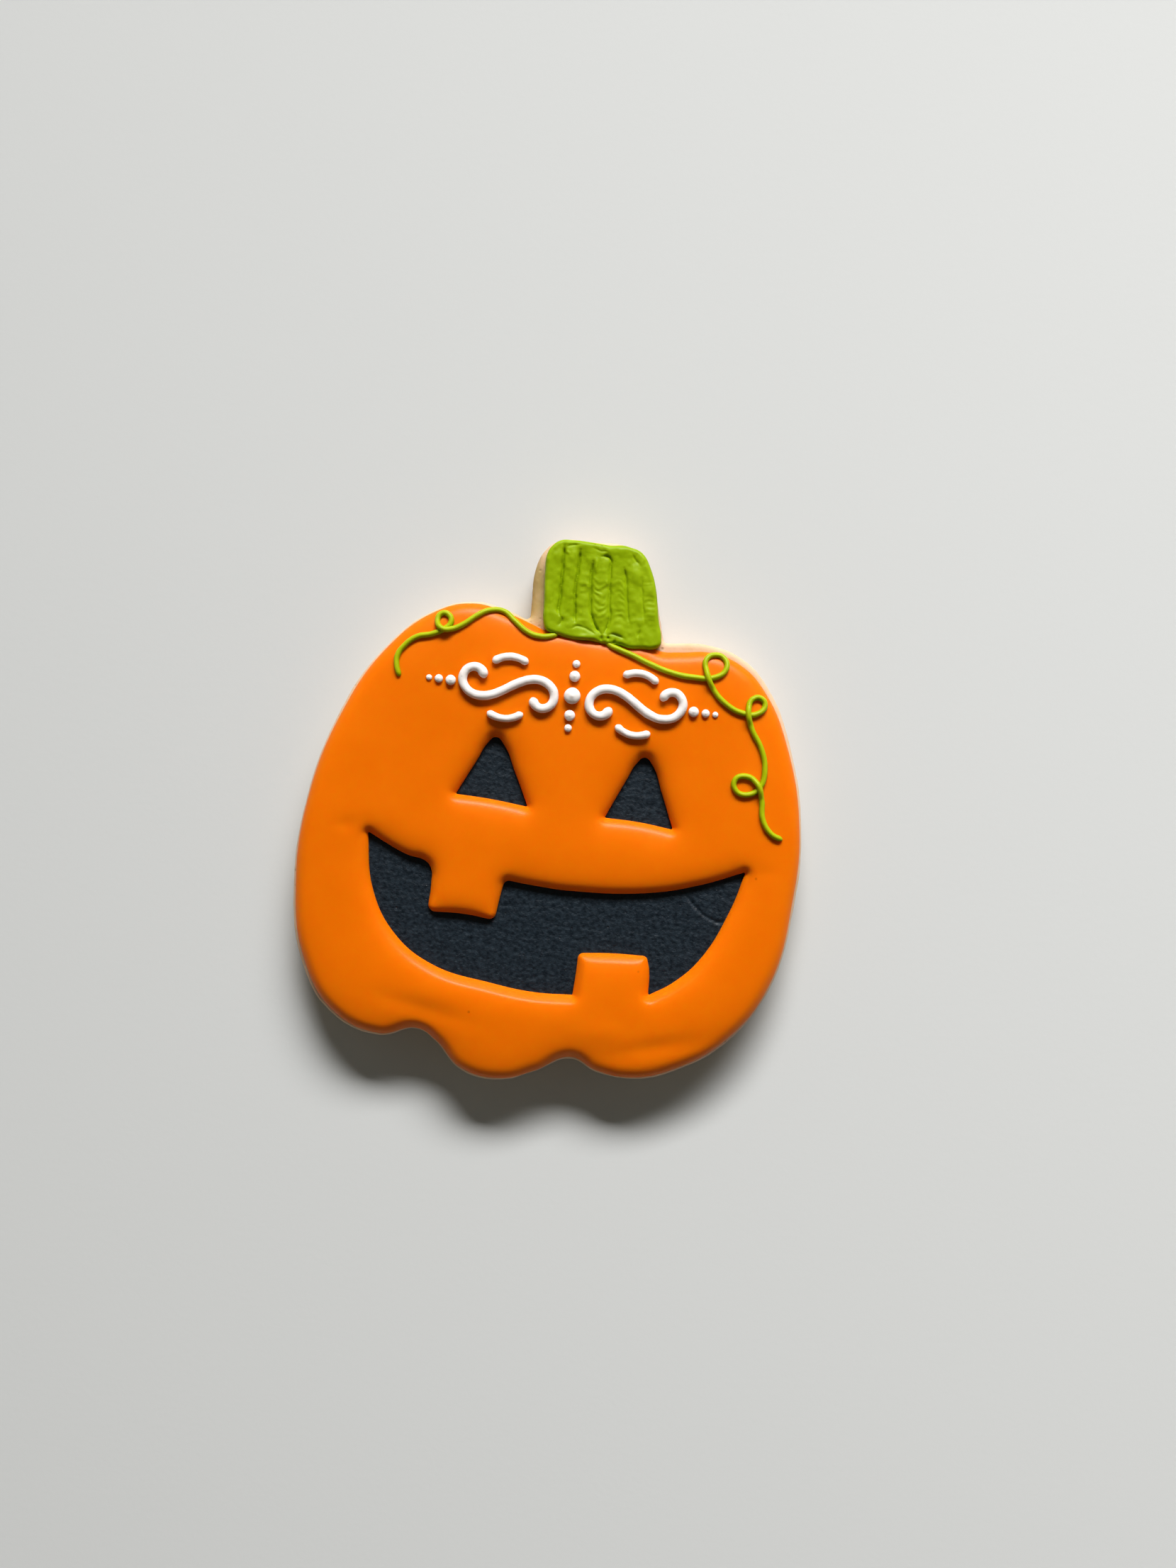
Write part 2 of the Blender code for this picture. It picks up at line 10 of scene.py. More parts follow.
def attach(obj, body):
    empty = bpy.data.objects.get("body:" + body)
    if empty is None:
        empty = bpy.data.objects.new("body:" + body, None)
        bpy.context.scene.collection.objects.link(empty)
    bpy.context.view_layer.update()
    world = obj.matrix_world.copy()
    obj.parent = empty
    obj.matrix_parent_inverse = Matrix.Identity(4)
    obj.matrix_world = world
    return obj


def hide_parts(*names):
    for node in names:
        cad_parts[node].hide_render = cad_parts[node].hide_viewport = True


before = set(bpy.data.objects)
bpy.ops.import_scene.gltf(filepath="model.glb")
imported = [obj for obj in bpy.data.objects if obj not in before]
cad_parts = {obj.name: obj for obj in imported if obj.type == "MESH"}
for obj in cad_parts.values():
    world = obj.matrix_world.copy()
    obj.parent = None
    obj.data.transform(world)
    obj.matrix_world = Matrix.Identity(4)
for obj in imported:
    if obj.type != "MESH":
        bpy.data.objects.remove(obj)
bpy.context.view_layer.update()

scene = bpy.context.scene
mm = 0.001               # every size below is in millimetres and becomes metres as it is placed


# camera and light

view = {
    "middle": (7.475, 4.68),   # the point under the camera
    "height": 304.5,
    "lens": 37.06,
    "sensor": 36.0,            # along the picture's long side
}

daylight = {
    "climb": 33.2,             # degrees above the table
    "turn": 18.5,              # degrees from the top of the picture towards its right
    "distance": 1900.0,
    "width": 1850.0,
    "tall": 437.0,
    "power": 16.0,
    "spread": 74.0,            # the light fades away from the line to its aim
    "aim": (482.0, -195.0),
    "colour": (1.0, 1.0, 1.0),
    "horizon": (0.235, 0.232, 0.215),
    "zenith": (0.040, 0.039, 0.028),
}

table = {
    "colour": (0.615, 0.62, 0.61),
    "half": 2500.0,
}


def setUpCamera():
    camera = bpy.data.objects.new("camera", bpy.data.cameras.new("camera"))
    camera.data.lens = view["lens"]
    camera.data.sensor_width = view["sensor"]
    camera.data.clip_start = 0.005
    camera.location = (view["middle"][0] * mm, view["middle"][1] * mm, view["height"] * mm)
    scene.collection.objects.link(camera)
    scene.camera = camera
    scene.view_settings.view_transform = "Standard"


def setUpLight():
    lamp = bpy.data.lights.new("window", "AREA")
    lamp.shape = "ELLIPSE"
    lamp.size = daylight["width"] * mm
    lamp.size_y = daylight["tall"] * mm
    lamp.energy = daylight["power"]
    lamp.spread = math.radians(daylight["spread"])
    lamp.color = daylight["colour"]
    window = bpy.data.objects.new("window", lamp)
    climb, turn = math.radians(daylight["climb"]), math.radians(daylight["turn"])
    towards = Vector((math.sin(turn) * math.cos(climb), math.cos(turn) * math.cos(climb), math.sin(climb)))
    window.location = towards * daylight["distance"] * mm
    facing = window.location - Vector((*daylight["aim"], 0.0)) * mm
    window.rotation_euler = facing.to_track_quat("Z", "Y").to_euler()
    window.visible_camera = False
    scene.collection.objects.link(window)
    world = bpy.data.worlds.new("room")
    world.use_nodes = True
    tree = world.node_tree
    upward = out(tree, "ShaderNodeTexCoord", output="Generated")
    height = out(tree, "ShaderNodeSeparateXYZ", {"Vector": upward}, output="Z")
    sky = mixed(tree, height, (*daylight["horizon"], 1.0), (*daylight["zenith"], 1.0))
    plug(tree, tree.nodes["Background"].inputs["Color"], sky)
    scene.world = world


# node helpers


def plug(tree, socket, value):
    if isinstance(value, bpy.types.NodeSocket):
        tree.links.new(value, socket)
    else:
        socket.default_value = value


def fill(tree, inputs, values):
    for key, value in values.items():
        plug(tree, inputs[key], value)


def put(tree, kind, values=None, **settings):
    node = tree.nodes.new(kind)
    node.location = (220 * (len(tree.nodes) % 12), -260 * (len(tree.nodes) // 12))
    for name, value in settings.items():
        setattr(node, name, value)
    fill(tree, node.inputs, values or {})
    return node


def out(tree, kind, values=None, output=0, **settings):
    return put(tree, kind, values, **settings).outputs[output]


def sums(tree, operation, *values):
    return out(tree, "ShaderNodeMath", dict(enumerate(values)), operation=operation)


def mixed(tree, share, first, second, **settings):
    # The numbers are a mix node's sockets for colours.
    return out(tree, "ShaderNodeMix", {0: share, 6: first, 7: second}, 2, data_type="RGBA", **settings)


def newTree(name, kind, inputs, outputs):
    # Each input has a starting value, or the kind of its socket where it needs none.
    tree = bpy.data.node_groups.new(name, kind)
    for label, value in inputs.items():
        socketType = value if isinstance(value, str) else {float: "Float", int: "Int", tuple: "Color"}[type(value)]
        socket = tree.interface.new_socket(label, in_out="INPUT", socket_type="NodeSocket" + socketType)
        if socketType != value:
            socket.default_value = value
    for label, socketType in outputs.items():
        tree.interface.new_socket(label, in_out="OUTPUT", socket_type="NodeSocket" + socketType)
    return tree, put(tree, "NodeGroupInput").outputs, put(tree, "NodeGroupOutput").inputs


def attribute(tree, name):
    return out(tree, "GeometryNodeInputNamedAttribute", {"Name": name}, "Attribute", data_type="FLOAT")


def unevenness(tree, position, size, seed, detail=2.0):
    # A random value around zero that changes over the given size.
    noise = out(tree, "ShaderNodeTexNoise", {
        "Vector": position, "W": seed, "Scale": sums(tree, "DIVIDE", 1.0, size), "Detail": detail,
    }, noise_dimensions="4D")
    return sums(tree, "SUBTRACT", noise, 0.5)


def shaped(piece, tree, values):
    # The piece's mesh as its node tree leaves it. The modifier is gone afterwards.
    modifier = piece.modifiers.new(tree.name, "NODES")
    modifier.node_group = tree
    for item in tree.interface.items_tree:
        if item.in_out == "INPUT" and item.name in values:
            modifier[item.identifier] = values[item.name]
    scene.collection.objects.link(piece)
    bpy.context.view_layer.update()
    mesh = bpy.data.meshes.new_from_object(piece.evaluated_get(bpy.context.evaluated_depsgraph_get()))
    piece.modifiers.remove(modifier)
    rough = piece.data
    piece.data = mesh
    bpy.data.meshes.remove(rough)
    return piece


# outlines and routes, in millimetres; a third number is the radius of a corner

tip = 0.2                # radius at the sharp tips of the face

biscuit = {
    "outline": [
        (2.7, 49.6), (-0.3, 47.9), (-2.3, 43.9), (-2.9, 38.5), (-3.2, 34.7, 0.8), (-7.0, 36.6), (-13.5, 38.3),
        (-20.4, 36.9), (-29.6, 30.3), (-38.3, 18.0), (-44.6, 1.5), (-46.8, -14.0), (-45.5, -27.3), (-40.0, -37.3),
        (-31.0, -41.6), (-24.0, -40.5), (-20.8, -42.6), (-16.0, -48.0), (-8.7, -49.8), (-2.4, -48.3), (4.2, -46.0),
        (9.0, -48.4), (15.5, -49.7), (23.1, -48.3), (32.6, -43.3), (40.8, -33.3), (45.5, -17.7), (46.8, -2.5),
        (44.6, 12.0), (40.4, 22.9), (36.0, 27.7), (29.5, 30.3), (21.5, 30.7, 0.8), (20.6, 36.0), (19.3, 43.6),
        (17.6, 47.0), (14.8, 48.5), (8.8, 49.2),
    ],
    "thickness": 7.5,
    "topEdge": 1.0,            # how far the top rounds over
    "shoulder": 1.1,           # how much further it does so in the bare place left of the stem
    "shoulderPlace": (-3.2, 41.0), "shoulderReach": (3.2, 6.5),
    "tan": 1.6, "sideTan": 0.25, "sideDepth": 1.2,   # how brown that place is, partly a browner bake and partly painted shade of the stem's shadow, and the side below a depth
    "underEdge": 0.7,
    "bulge": 0.12,
    "step": 0.42, "inlandStep": 2.4, "underStep": 2.2,
    "rings": (0.05, 0.16, 0.32, 0.54, 0.8, 1.1, 1.5, 1.95, 2.45, 3.2),
}

orangeIcing = {
    "outline": [
        (2.4, 32.8), (-0.2, 32.9), (-2.6, 34.0), (-7.0, 36.0), (-13.5, 37.9), (-20.4, 36.5), (-29.3, 30.0),
        (-37.9, 17.8), (-44.2, 1.5), (-46.3, -14.0), (-44.9, -27.0), (-39.5, -36.9), (-31.0, -41.1), (-23.8, -40.2),
        (-20.5, -42.4), (-15.9, -47.5), (-8.7, -49.4), (-2.4, -48.0), (4.2, -45.5), (9.0, -48.0), (15.5, -49.3),
        (23.1, -47.8), (32.5, -42.7), (40.5, -33.0), (45.2, -16.5), (46.4, -3.5), (44.0, 12.0), (40.2, 21.3),
        (36.0, 26.2), (30.0, 28.8), (24.5, 28.9), (20.8, 29.1), (18.6, 30.2), (13.0, 30.9), (7.0, 31.9),
    ],
    "shoulder": 1.35,          # height of the rims' rounding above the biscuit
    # for the outer rim and for the openings: height of the widest point, and width of the rounding
    "lips": (0.12, 0.82), "roundings": (2.4, 1.5),
    "softRise": 1.55, "outerReach": 3.1, "openingReach": 1.5,   # how far the pool rises, and over what
    "cell": 0.35,              # of the grid that holds the pool
    "poolFrom": 1.8, "reliefFrom": 1.5,         # distance from a rim where each has its full say
    "evenRim": 1.5, "evenFade": 3.5,            # width without unevenness, and over which it starts
    "side": ((0.02, 0.72), (0.08, 0.44), (0.19, 0.18), (0.32, 0.0)),   # inland, share of the rim's height
    "foot": 0.34, "sunk": 0.05, "underStep": 5.0,
    "rings": (0.03, 0.09, 0.18, 0.3, 0.46, 0.66, 0.92, 1.2, 1.5, 1.85, 2.25, 2.8, 3.6),
    "step": 0.42, "inlandStep": 0.75,
}

# dips and swells in the flood: middle, half length, half width, tilt in degrees, height
orangeRelief = [
    ((-22.5, -36.3), 8.0, 1.7, -17, -0.33),
    ((-36.4, -2.6), 2.0, 1.2, 0, -0.18),
    ((19.8, -43.5), 8.0, 1.7, 9, -0.36),
    ((9.6, -40.6), 3.5, 1.8, 0, 0.14),
    ((-2.0, -33.5), 36.0, 8.5, 0, 0.38),
    ((4.5, -7.0), 19.0, 3.2, -7, 0.10),
    ((39.6, -11.6), 1.8, 1.0, 0, -0.12),
]

faceOutlines = {
    "mouth_icing": [
        (-32.9, -4.0, tip), (-32.0, -14.5), (-28.2, -22.5), (-21.5, -28.2), (-10.0, -31.9), (-2.5, -33.5),
        (4.6, -34.0, tip), (5.3, -29.5), (5.7, -26.3, 1.0), (12.0, -26.4), (18.3, -26.9, 1.0), (18.7, -29.6),
        (18.5, -34.1, tip), (23.0, -31.8), (28.0, -27.5), (33.5, -18.6), (36.4, -11.5, tip), (28.0, -13.9),
        (19.0, -15.3), (4.0, -14.9), (-2.2, -14.0), (-7.8, -12.9, 1.1), (-8.4, -15.0), (-9.7, -20.3, 1.3),
        (-15.0, -19.2), (-22.0, -18.6, 1.3), (-21.3, -13.4), (-21.3, -10.9), (-22.2, -9.5), (-25.8, -8.2),
    ],
    "eye_icing_left": [
        (-16.8, 2.9, tip), (-10.2, 1.9), (-3.6, 0.5, tip), (-5.9, 6.8), (-7.9, 11.8), (-9.4, 13.3),
        (-11.0, 12.1), (-12.8, 9.2),
    ],
    "eye_icing_right": [
        (10.5, -1.5, tip), (16.6, -2.3), (23.0, -3.7, tip), (21.0, 3.0), (19.3, 8.1), (17.9, 9.5),
        (16.4, 8.4), (14.6, 5.5),
    ],
}

blackIcing = {
    "top": 0.38,
    "overlap": 0.25,           # how far it runs under the orange rims
    "step": 0.5, "inlandStep": 0.26,
    "scratch": [(25.1, -15.3), (27.6, -18.3), (29.3, -19.8), (32.5, -21.1)],
    "scratchDepth": 0.22, "scratchWidth": 0.3,
    "sunk": 0.05, "underStep": 6.0,
}


def smoothKnots(anchors, closed):
    # (handle, point, handle) along the smooth line through the anchors.
    knots = []
    for index, anchor in enumerate(anchors):
        point, before = Vector(anchor[:2]), Vector(anchors[index - 1][:2])
        after = Vector(anchors[(index + 1) % len(anchors)][:2])
        if not closed and index == 0:
            knots.append((point, point, point.lerp(after, 1 / 3)))
            continue
        if not closed and index == len(anchors) - 1:
            knots.append((point.lerp(before, 1 / 3), point, point))
            continue
        back, ahead = (point - before).length, (after - point).length
        arriving, leaving = (point - before) / back, (after - point) / ahead
        if len(anchor) == 2:
            along = (arriving + leaving).normalized() / 2.5614
            knots.append((point - along * back, point, point + along * ahead))
            continue
        halfTurn = arriving.angle(leaving) / 2
        cut = min(anchor[2] * math.tan(halfTurn), 0.45 * back, 0.45 * ahead)
        handle = 4 / 3 * math.tan(halfTurn / 2) * cut / math.tan(halfTurn)
        start, end = point - arriving * cut, point + leaving * cut
        knots.append((start - arriving * (back - cut) / 3, start, start + arriving * handle))
        knots.append((end - leaving * handle, end, end + leaving * (ahead - cut) / 3))
    return knots


def traceLine(anchors, step, closed=True):
    knots = smoothKnots(anchors, closed)
    following = knots[1:] + knots[:1] if closed else knots[1:]
    points = []
    for (_, start, leaving), (arriving, end, _) in zip(knots, following):
        pieces = max(5, math.ceil((end - start).length / step))
        points += interpolate_bezier(start, leaving, arriving, end, pieces + 1)[:-1]
    if not closed:
        points.append(knots[-1][1])
    return np.array([point[:2] for point in points])


def rimDistance(rims, points, batch=1500):
    nearest = np.full(len(points), np.inf)
    for rim in rims:
        side = np.roll(rim, -1, axis=0) - rim
        for first in range(0, len(points), batch):
            offset = points[first:first + batch, None] - rim[None]
            share = np.clip((offset * side).sum(2) / (side ** 2).sum(1), 0, 1)
            gap = ((offset - share[..., None] * side) ** 2).sum(2).min(1)
            nearest[first:first + batch] = np.minimum(nearest[first:first + batch], np.sqrt(gap))
    return nearest


def insideRims(rims, points):
    crossings = np.zeros(len(points), int)
    for rim in rims:
        ahead = np.roll(rim, -1, axis=0)
        for first in range(0, len(points), 4000):
            x, y = points[first:first + 4000, :1], points[first:first + 4000, 1:]
            spans = (rim[:, 1] > y) != (ahead[:, 1] > y)
            rise = np.where(ahead[:, 1] == rim[:, 1], 1.0, ahead[:, 1] - rim[:, 1])
            across = rim[:, 0] + (y - rim[:, 1]) / rise * (ahead[:, 0] - rim[:, 0])
            crossings[first:first + 4000] += (spans & (x < across)).sum(1)
    return crossings % 2 == 1


def movedInland(rim, distance):
    side = np.roll(rim, -1, axis=0) - rim
    side /= np.linalg.norm(side, axis=1)[:, None]
    both = side + np.roll(side, 1, axis=0)
    stretch = distance * 2 / np.maximum((both ** 2).sum(1), 0.6)
    return rim + np.c_[-both[:, 1], both[:, 0]] * stretch[:, None]


def sheetPoints(rims, rings, inlandStep):
    # The rims' points first, then rings along every rim, then an even spread inland.
    groups = [np.concatenate(rims)]
    for distance in rings:
        for rim in rims:
            moved = movedInland(rim, distance)
            moved = moved[rimDistance(rims, moved) > 0.93 * distance]
            groups.append(moved)
    low, high = groups[0].min(axis=0), groups[0].max(axis=0)
    columns = np.arange(low[0], high[0], inlandStep)
    rows = np.arange(low[1], high[1], inlandStep * 0.87)
    x, y = np.meshgrid(columns, rows)
    x[1::2] += inlandStep / 2
    spread = np.c_[x.ravel(), y.ravel()]
    spread = spread[insideRims(rims, spread)]
    margin = (rings[-1] if rings else 0) + 0.6 * inlandStep
    groups.append(spread[rimDistance(rims, spread) > margin])
    return np.concatenate(groups)


def sheetTriangles(points, rims):
    edges, start = [], 0
    for rim in rims:
        edges += [(start + i, start + (i + 1) % len(rim)) for i in range(len(rim))]
        start += len(rim)
    found = delaunay_2d_cdt([Vector(point) for point in points], edges, [], 0, 1e-7)
    source = [origins[0] for origins in found[3]]
    corners = np.array([[source[i] for i in face] for face in found[2]])
    return corners[insideRims(rims, points[corners].mean(axis=1))]


def slabMesh(name, rims, topPoints, topHeight, wall, underPoints, underHeight):
    # A closed slab: its top, a wall of rows from (shift inland, height) below the rims, and its underside.
    count = sum(len(rim) for rim in rims)
    vertices = [np.c_[topPoints, topHeight]]
    faces = sheetTriangles(topPoints, rims).tolist()
    start = len(topPoints)
    above = 0
    for inland, height in wall:
        row = np.concatenate([movedInland(rim, inland) for rim in rims])
        vertices.append(np.c_[row, np.full(count, height)])
        first = 0
        for rim in rims:
            for i in range(len(rim)):
                j = (i + 1) % len(rim)
                faces.append((above + first + i, start + first + i, start + first + j, above + first + j))
            first += len(rim)
        above = start
        start += count
    lowRims = [movedInland(rim, wall[-1][0]) for rim in rims]
    inner = underPoints[count:]
    vertices.append(np.c_[inner, np.full(len(inner), underHeight)])
    under = sheetTriangles(np.r_[np.concatenate(lowRims), inner], lowRims)[:, ::-1]
    faces += (np.where(under < count, under + above, under - count + start)).tolist()
    mesh = bpy.data.meshes.new(name)
    mesh.from_pydata((np.concatenate(vertices) * mm).tolist(), [], faces)
    shape = bmesh.new()
    shape.from_mesh(mesh)
    bmesh.ops.recalc_face_normals(shape, faces=shape.faces)
    shape.to_mesh(mesh)
    shape.free()
    return mesh


def keepValues(mesh, name, values):
    layer = mesh.attributes.new(name, "FLOAT", "POINT")
    filled = np.zeros(len(mesh.vertices), np.float32)
    filled[:len(values)] = values
    layer.data.foreach_set("value", filled)


# shared node trees for shapes


def shapeTree(name, inputs):
    inputs = {"Geometry": "Geometry", "Seed": 0.0, "Finish": "Material", **inputs}
    return newTree(name, "GeometryNodeTree", inputs, {"Geometry": "Geometry"})


def endTree(tree, given, wanted, geometry, height):
    # Moves the surface along its normal by the height, and closes the tree.
    offset = out(tree, "ShaderNodeVectorMath", {
        "Vector": out(tree, "GeometryNodeInputNormal"), "Scale": height}, operation="SCALE")
    for kind, values in (
        ("GeometryNodeSetPosition", {"Offset": offset}), ("GeometryNodeSetShadeSmooth", {"Shade Smooth": True}),
        ("GeometryNodeRealizeInstances", {}), ("GeometryNodeSetMaterial", {"Material": given["Finish"]}),
    ):
        geometry = out(tree, kind, {"Geometry": geometry, **values})
    plug(tree, wanted["Geometry"], geometry)
    return tree


def makeSettledTree():
    # Broad, fine and streaked unevenness, where the mask "skin" lets it through.
    tree, given, wanted = shapeTree("Settled surface", {
        "Broad Height": 0.0, "Broad Size": 0.01, "Fine Height": 0.0, "Fine Size": 0.001,
        "Streak Height": 0.0, "Streak Width": 0.001, "Streak Turn": 0.0})
    position = out(tree, "GeometryNodeInputPosition")
    turned = out(tree, "ShaderNodeVectorRotate", {"Vector": position, "Angle": given["Streak Turn"]},
                 rotation_type="Z_AXIS")
    drawn = out(tree, "ShaderNodeVectorMath", {0: turned, 1: (0.07, 1.0, 1.0)}, operation="MULTIPLY")
    broad = unevenness(tree, position, given["Broad Size"], given["Seed"])
    fine = unevenness(tree, position, given["Fine Size"], given["Seed"], 3.0)
    streaks = unevenness(tree, drawn, given["Streak Width"], given["Seed"], 3.0)
    height = sums(tree, "MULTIPLY", broad, given["Broad Height"])
    height = sums(tree, "MULTIPLY_ADD", fine, given["Fine Height"], height)
    height = sums(tree, "MULTIPLY_ADD", streaks, given["Streak Height"], height)
    height = sums(tree, "MULTIPLY", height, attribute(tree, "skin"))
    return endTree(tree, given, wanted, given["Geometry"], height)


def makePipedTree():
    # A lumpy line of icing along its route.
    tree, given, wanted = shapeTree("Piped icing", {
        "Sides": 20, "Flatness": 1.0, "Lump Height": 0.0, "Lump Size": 0.001, "Fine Height": 0.0, "Fine Size": 0.0003})
    route = out(tree, "GeometryNodeMeshToCurve", {"Mesh": given["Geometry"]})
    route = out(tree, "GeometryNodeSetCurveNormal", {"Curve": route}, mode="Z_UP")
    circle = out(tree, "GeometryNodeCurvePrimitiveCircle", {"Resolution": given["Sides"], "Radius": 1.0})
    position = out(tree, "GeometryNodeInputPosition")
    squash = out(tree, "ShaderNodeCombineXYZ", {"X": given["Flatness"], "Y": 1.0, "Z": 1.0})
    section = out(tree, "ShaderNodeVectorMath", {0: position, 1: squash}, operation="MULTIPLY")
    swept = out(tree, "GeometryNodeCurveToMesh", {
        "Curve": route, "Fill Caps": True, "Scale": attribute(tree, "thickness"),
        "Profile Curve": out(tree, "GeometryNodeSetPosition", {"Geometry": circle, "Position": section}),
    })
    lumps = unevenness(tree, position, given["Lump Size"], given["Seed"], 1.0)
    fine = unevenness(tree, position, given["Fine Size"], given["Seed"])
    height = sums(tree, "MULTIPLY", lumps, given["Lump Height"])
    height = sums(tree, "MULTIPLY_ADD", fine, given["Fine Height"], height)
    return endTree(tree, given, wanted, swept, height)


def makeBeadTree():
    # A dot of icing at each point: a squashed drop with a soft peak.
    tree, given, wanted = shapeTree("Icing beads", {
        "Flatness": 0.6, "Peak": 0.1, "Lump Height": 0.0, "Lump Size": 0.001})
    ball = out(tree, "GeometryNodeMeshUVSphere", {"Segments": 40, "Rings": 28, "Radius": 1.0})
    position = out(tree, "GeometryNodeInputPosition")
    place = put(tree, "ShaderNodeSeparateXYZ", {"Vector": position}).outputs
    spreading = sums(tree, "ADD", sums(tree, "POWER", place["X"], 2.0), sums(tree, "POWER", place["Y"], 2.0))
    peak = sums(tree, "POWER", 2.718, sums(tree, "MULTIPLY", spreading, -14.0))    # narrow and bell-shaped
    above = sums(tree, "MULTIPLY", given["Peak"], sums(tree, "GREATER_THAN", place["Z"], 0.0))
    height = sums(tree, "MULTIPLY_ADD", place["Z"], given["Flatness"], sums(tree, "MULTIPLY", peak, above))
    section = out(tree, "ShaderNodeCombineXYZ", {"X": place["X"], "Y": place["Y"], "Z": height})
    dots = out(tree, "GeometryNodeInstanceOnPoints", {
        "Points": out(tree, "GeometryNodeMeshToPoints", {"Mesh": given["Geometry"]}),
        "Instance": out(tree, "GeometryNodeSetPosition", {"Geometry": ball, "Position": section}),
        "Scale": attribute(tree, "thickness"),
    })
    whole = out(tree, "GeometryNodeRealizeInstances", {"Geometry": dots})
    lumps = unevenness(tree, position, given["Lump Size"], given["Seed"])
    return endTree(tree, given, wanted, whole, sums(tree, "MULTIPLY", lumps, given["Lump Height"]))


# shader groups and finishes


def makeSkinGroup():
    # Sugar grain, pinholes and soft mottling, all as values over the surface.
    tree, given, wanted = newTree("Sugar skin", "ShaderNodeTree", {
        "Vector": "Vector", "Grain Scale": 5000.0, "Mottle Scale": 120.0, "Pinhole Scale": 700.0,
        "Pinhole Share": 0.1, "Pinhole Width": 0.3,
    }, {"Grain": "Float", "Mottle": "Float", "Pinholes": "Float"})
    for name, roughness in (("Grain", 0.6), ("Mottle", 0.55)):
        plug(tree, wanted[name], out(tree, "ShaderNodeTexNoise", {
            "Vector": given["Vector"], "Scale": given[name + " Scale"], "Detail": 3.0, "Roughness": roughness}))
    cells = put(tree, "ShaderNodeTexVoronoi", {"Vector": given["Vector"], "Scale": given["Pinhole Scale"]}).outputs
    depth = out(tree, "ShaderNodeMapRange", {
        "Value": cells["Distance"], "From Min": 0.0, "From Max": given["Pinhole Width"],
        "To Min": 1.0, "To Max": 0.0}, interpolation_type="SMOOTHSTEP")
    chance = out(tree, "ShaderNodeSeparateColor", {"Color": cells["Color"]})
    chosen = sums(tree, "LESS_THAN", chance, given["Pinhole Share"])
    plug(tree, wanted["Pinholes"], sums(tree, "MULTIPLY", depth, chosen))
    return tree


def makeTintGroup():
    # Goes from one colour to another with a mask, then darkens the pinholes with painted shade.
    tree, given, wanted = newTree("Icing tint", "ShaderNodeTree", {
        "Deep": (0.5, 0.5, 0.5, 1.0), "Pale": (0.6, 0.6, 0.6, 1.0), "Mottle": 0.5, "Contrast": 1.0,
        "Pinholes": 0.0, "Pinhole Shade": 0.4,
    }, {"Color": "Color"})
    spread = sums(tree, "MULTIPLY", sums(tree, "SUBTRACT", given["Mottle"], 0.5), given["Contrast"])
    share = out(tree, "ShaderNodeClamp", {"Value": sums(tree, "ADD", spread, 0.5)})
    # Painted shade in the pinholes: the colour darkens there by this share.
    left = sums(tree, "SUBTRACT", 1.0, sums(tree, "MULTIPLY", given["Pinholes"], given["Pinhole Shade"]))
    grey = out(tree, "ShaderNodeCombineColor", {"Red": left, "Green": left, "Blue": left})
    tint = mixed(tree, share, given["Deep"], given["Pale"])
    plug(tree, wanted["Color"], mixed(tree, 1.0, tint, grey, blend_type="MULTIPLY"))
    return tree


finishes = {
    "orange_icing": {
        "deep": (0.770, 0.150, 0.0002), "pale": (0.84, 0.177, 0.0003), "contrast": 1.2, "mottle": 90.0,
        "grain": 4200.0, "pinhole": 420.0, "pinholeShare": 0.015, "pinholeWidth": 0.16,
        "roughness": (0.31, 0.38), "specular": 0.11, "bump": 0.5, "grainDepth": 0.014, "pinholeDepth": 0.05,
        "subsurface": 0.5, "reach": (1.5, 0.5, 0.06),
    },
    "black_icing": {
        "deep": (0.0022, 0.0060, 0.0104), "pale": (0.0086, 0.0172, 0.0258), "contrast": 3.2, "mottle": 1250.0,
        "grain": 1700.0, "pinhole": 900.0, "pinholeShare": 0.10, "pinholeWidth": 0.22,
        "roughness": (0.42, 0.62), "specular": 0.26, "bump": 1.0, "grainDepth": 0.15, "pinholeDepth": 0.08,
        "subsurface": 0.0, "reach": (1.0, 1.0, 1.0),
    },
    "green_stem_icing": {
        "deep": (0.225, 0.330, 0.0012), "pale": (0.285, 0.405, 0.0020), "contrast": 1.6, "mottle": 260.0,
        "grain": 3800.0, "pinhole": 800.0, "pinholeShare": 0.06, "pinholeWidth": 0.2,
        "roughness": (0.34, 0.46), "specular": 0.10, "bump": 0.6, "grainDepth": 0.010, "pinholeDepth": 0.04,
        "subsurface": 0.22, "reach": (0.6, 0.8, 0.1),
    },
    "green_tendril_icing": {
        "deep": (0.31, 0.375, 0.0010), "pale": (0.385, 0.45, 0.0018), "contrast": 1.4, "mottle": 300.0,
        "grain": 3800.0, "pinhole": 900.0, "pinholeShare": 0.08, "pinholeWidth": 0.2,
        "roughness": (0.36, 0.46), "specular": 0.13, "bump": 0.6, "grainDepth": 0.010, "pinholeDepth": 0.05,
        "subsurface": 0.45, "reach": (0.8, 1.0, 0.1),
    },
    "white_icing": {
        "deep": (0.80, 0.735, 0.69), "pale": (0.86, 0.81, 0.77), "contrast": 1.4, "mottle": 260.0,
        "grain": 3200.0, "pinhole": 1100.0, "pinholeShare": 0.16, "pinholeWidth": 0.24,
        "roughness": (0.55, 0.70), "specular": 0.35, "bump": 0.8, "grainDepth": 0.012, "pinholeDepth": 0.06,
        "subsurface": 0.12, "reach": (0.6, 0.5, 0.4),
    },
}

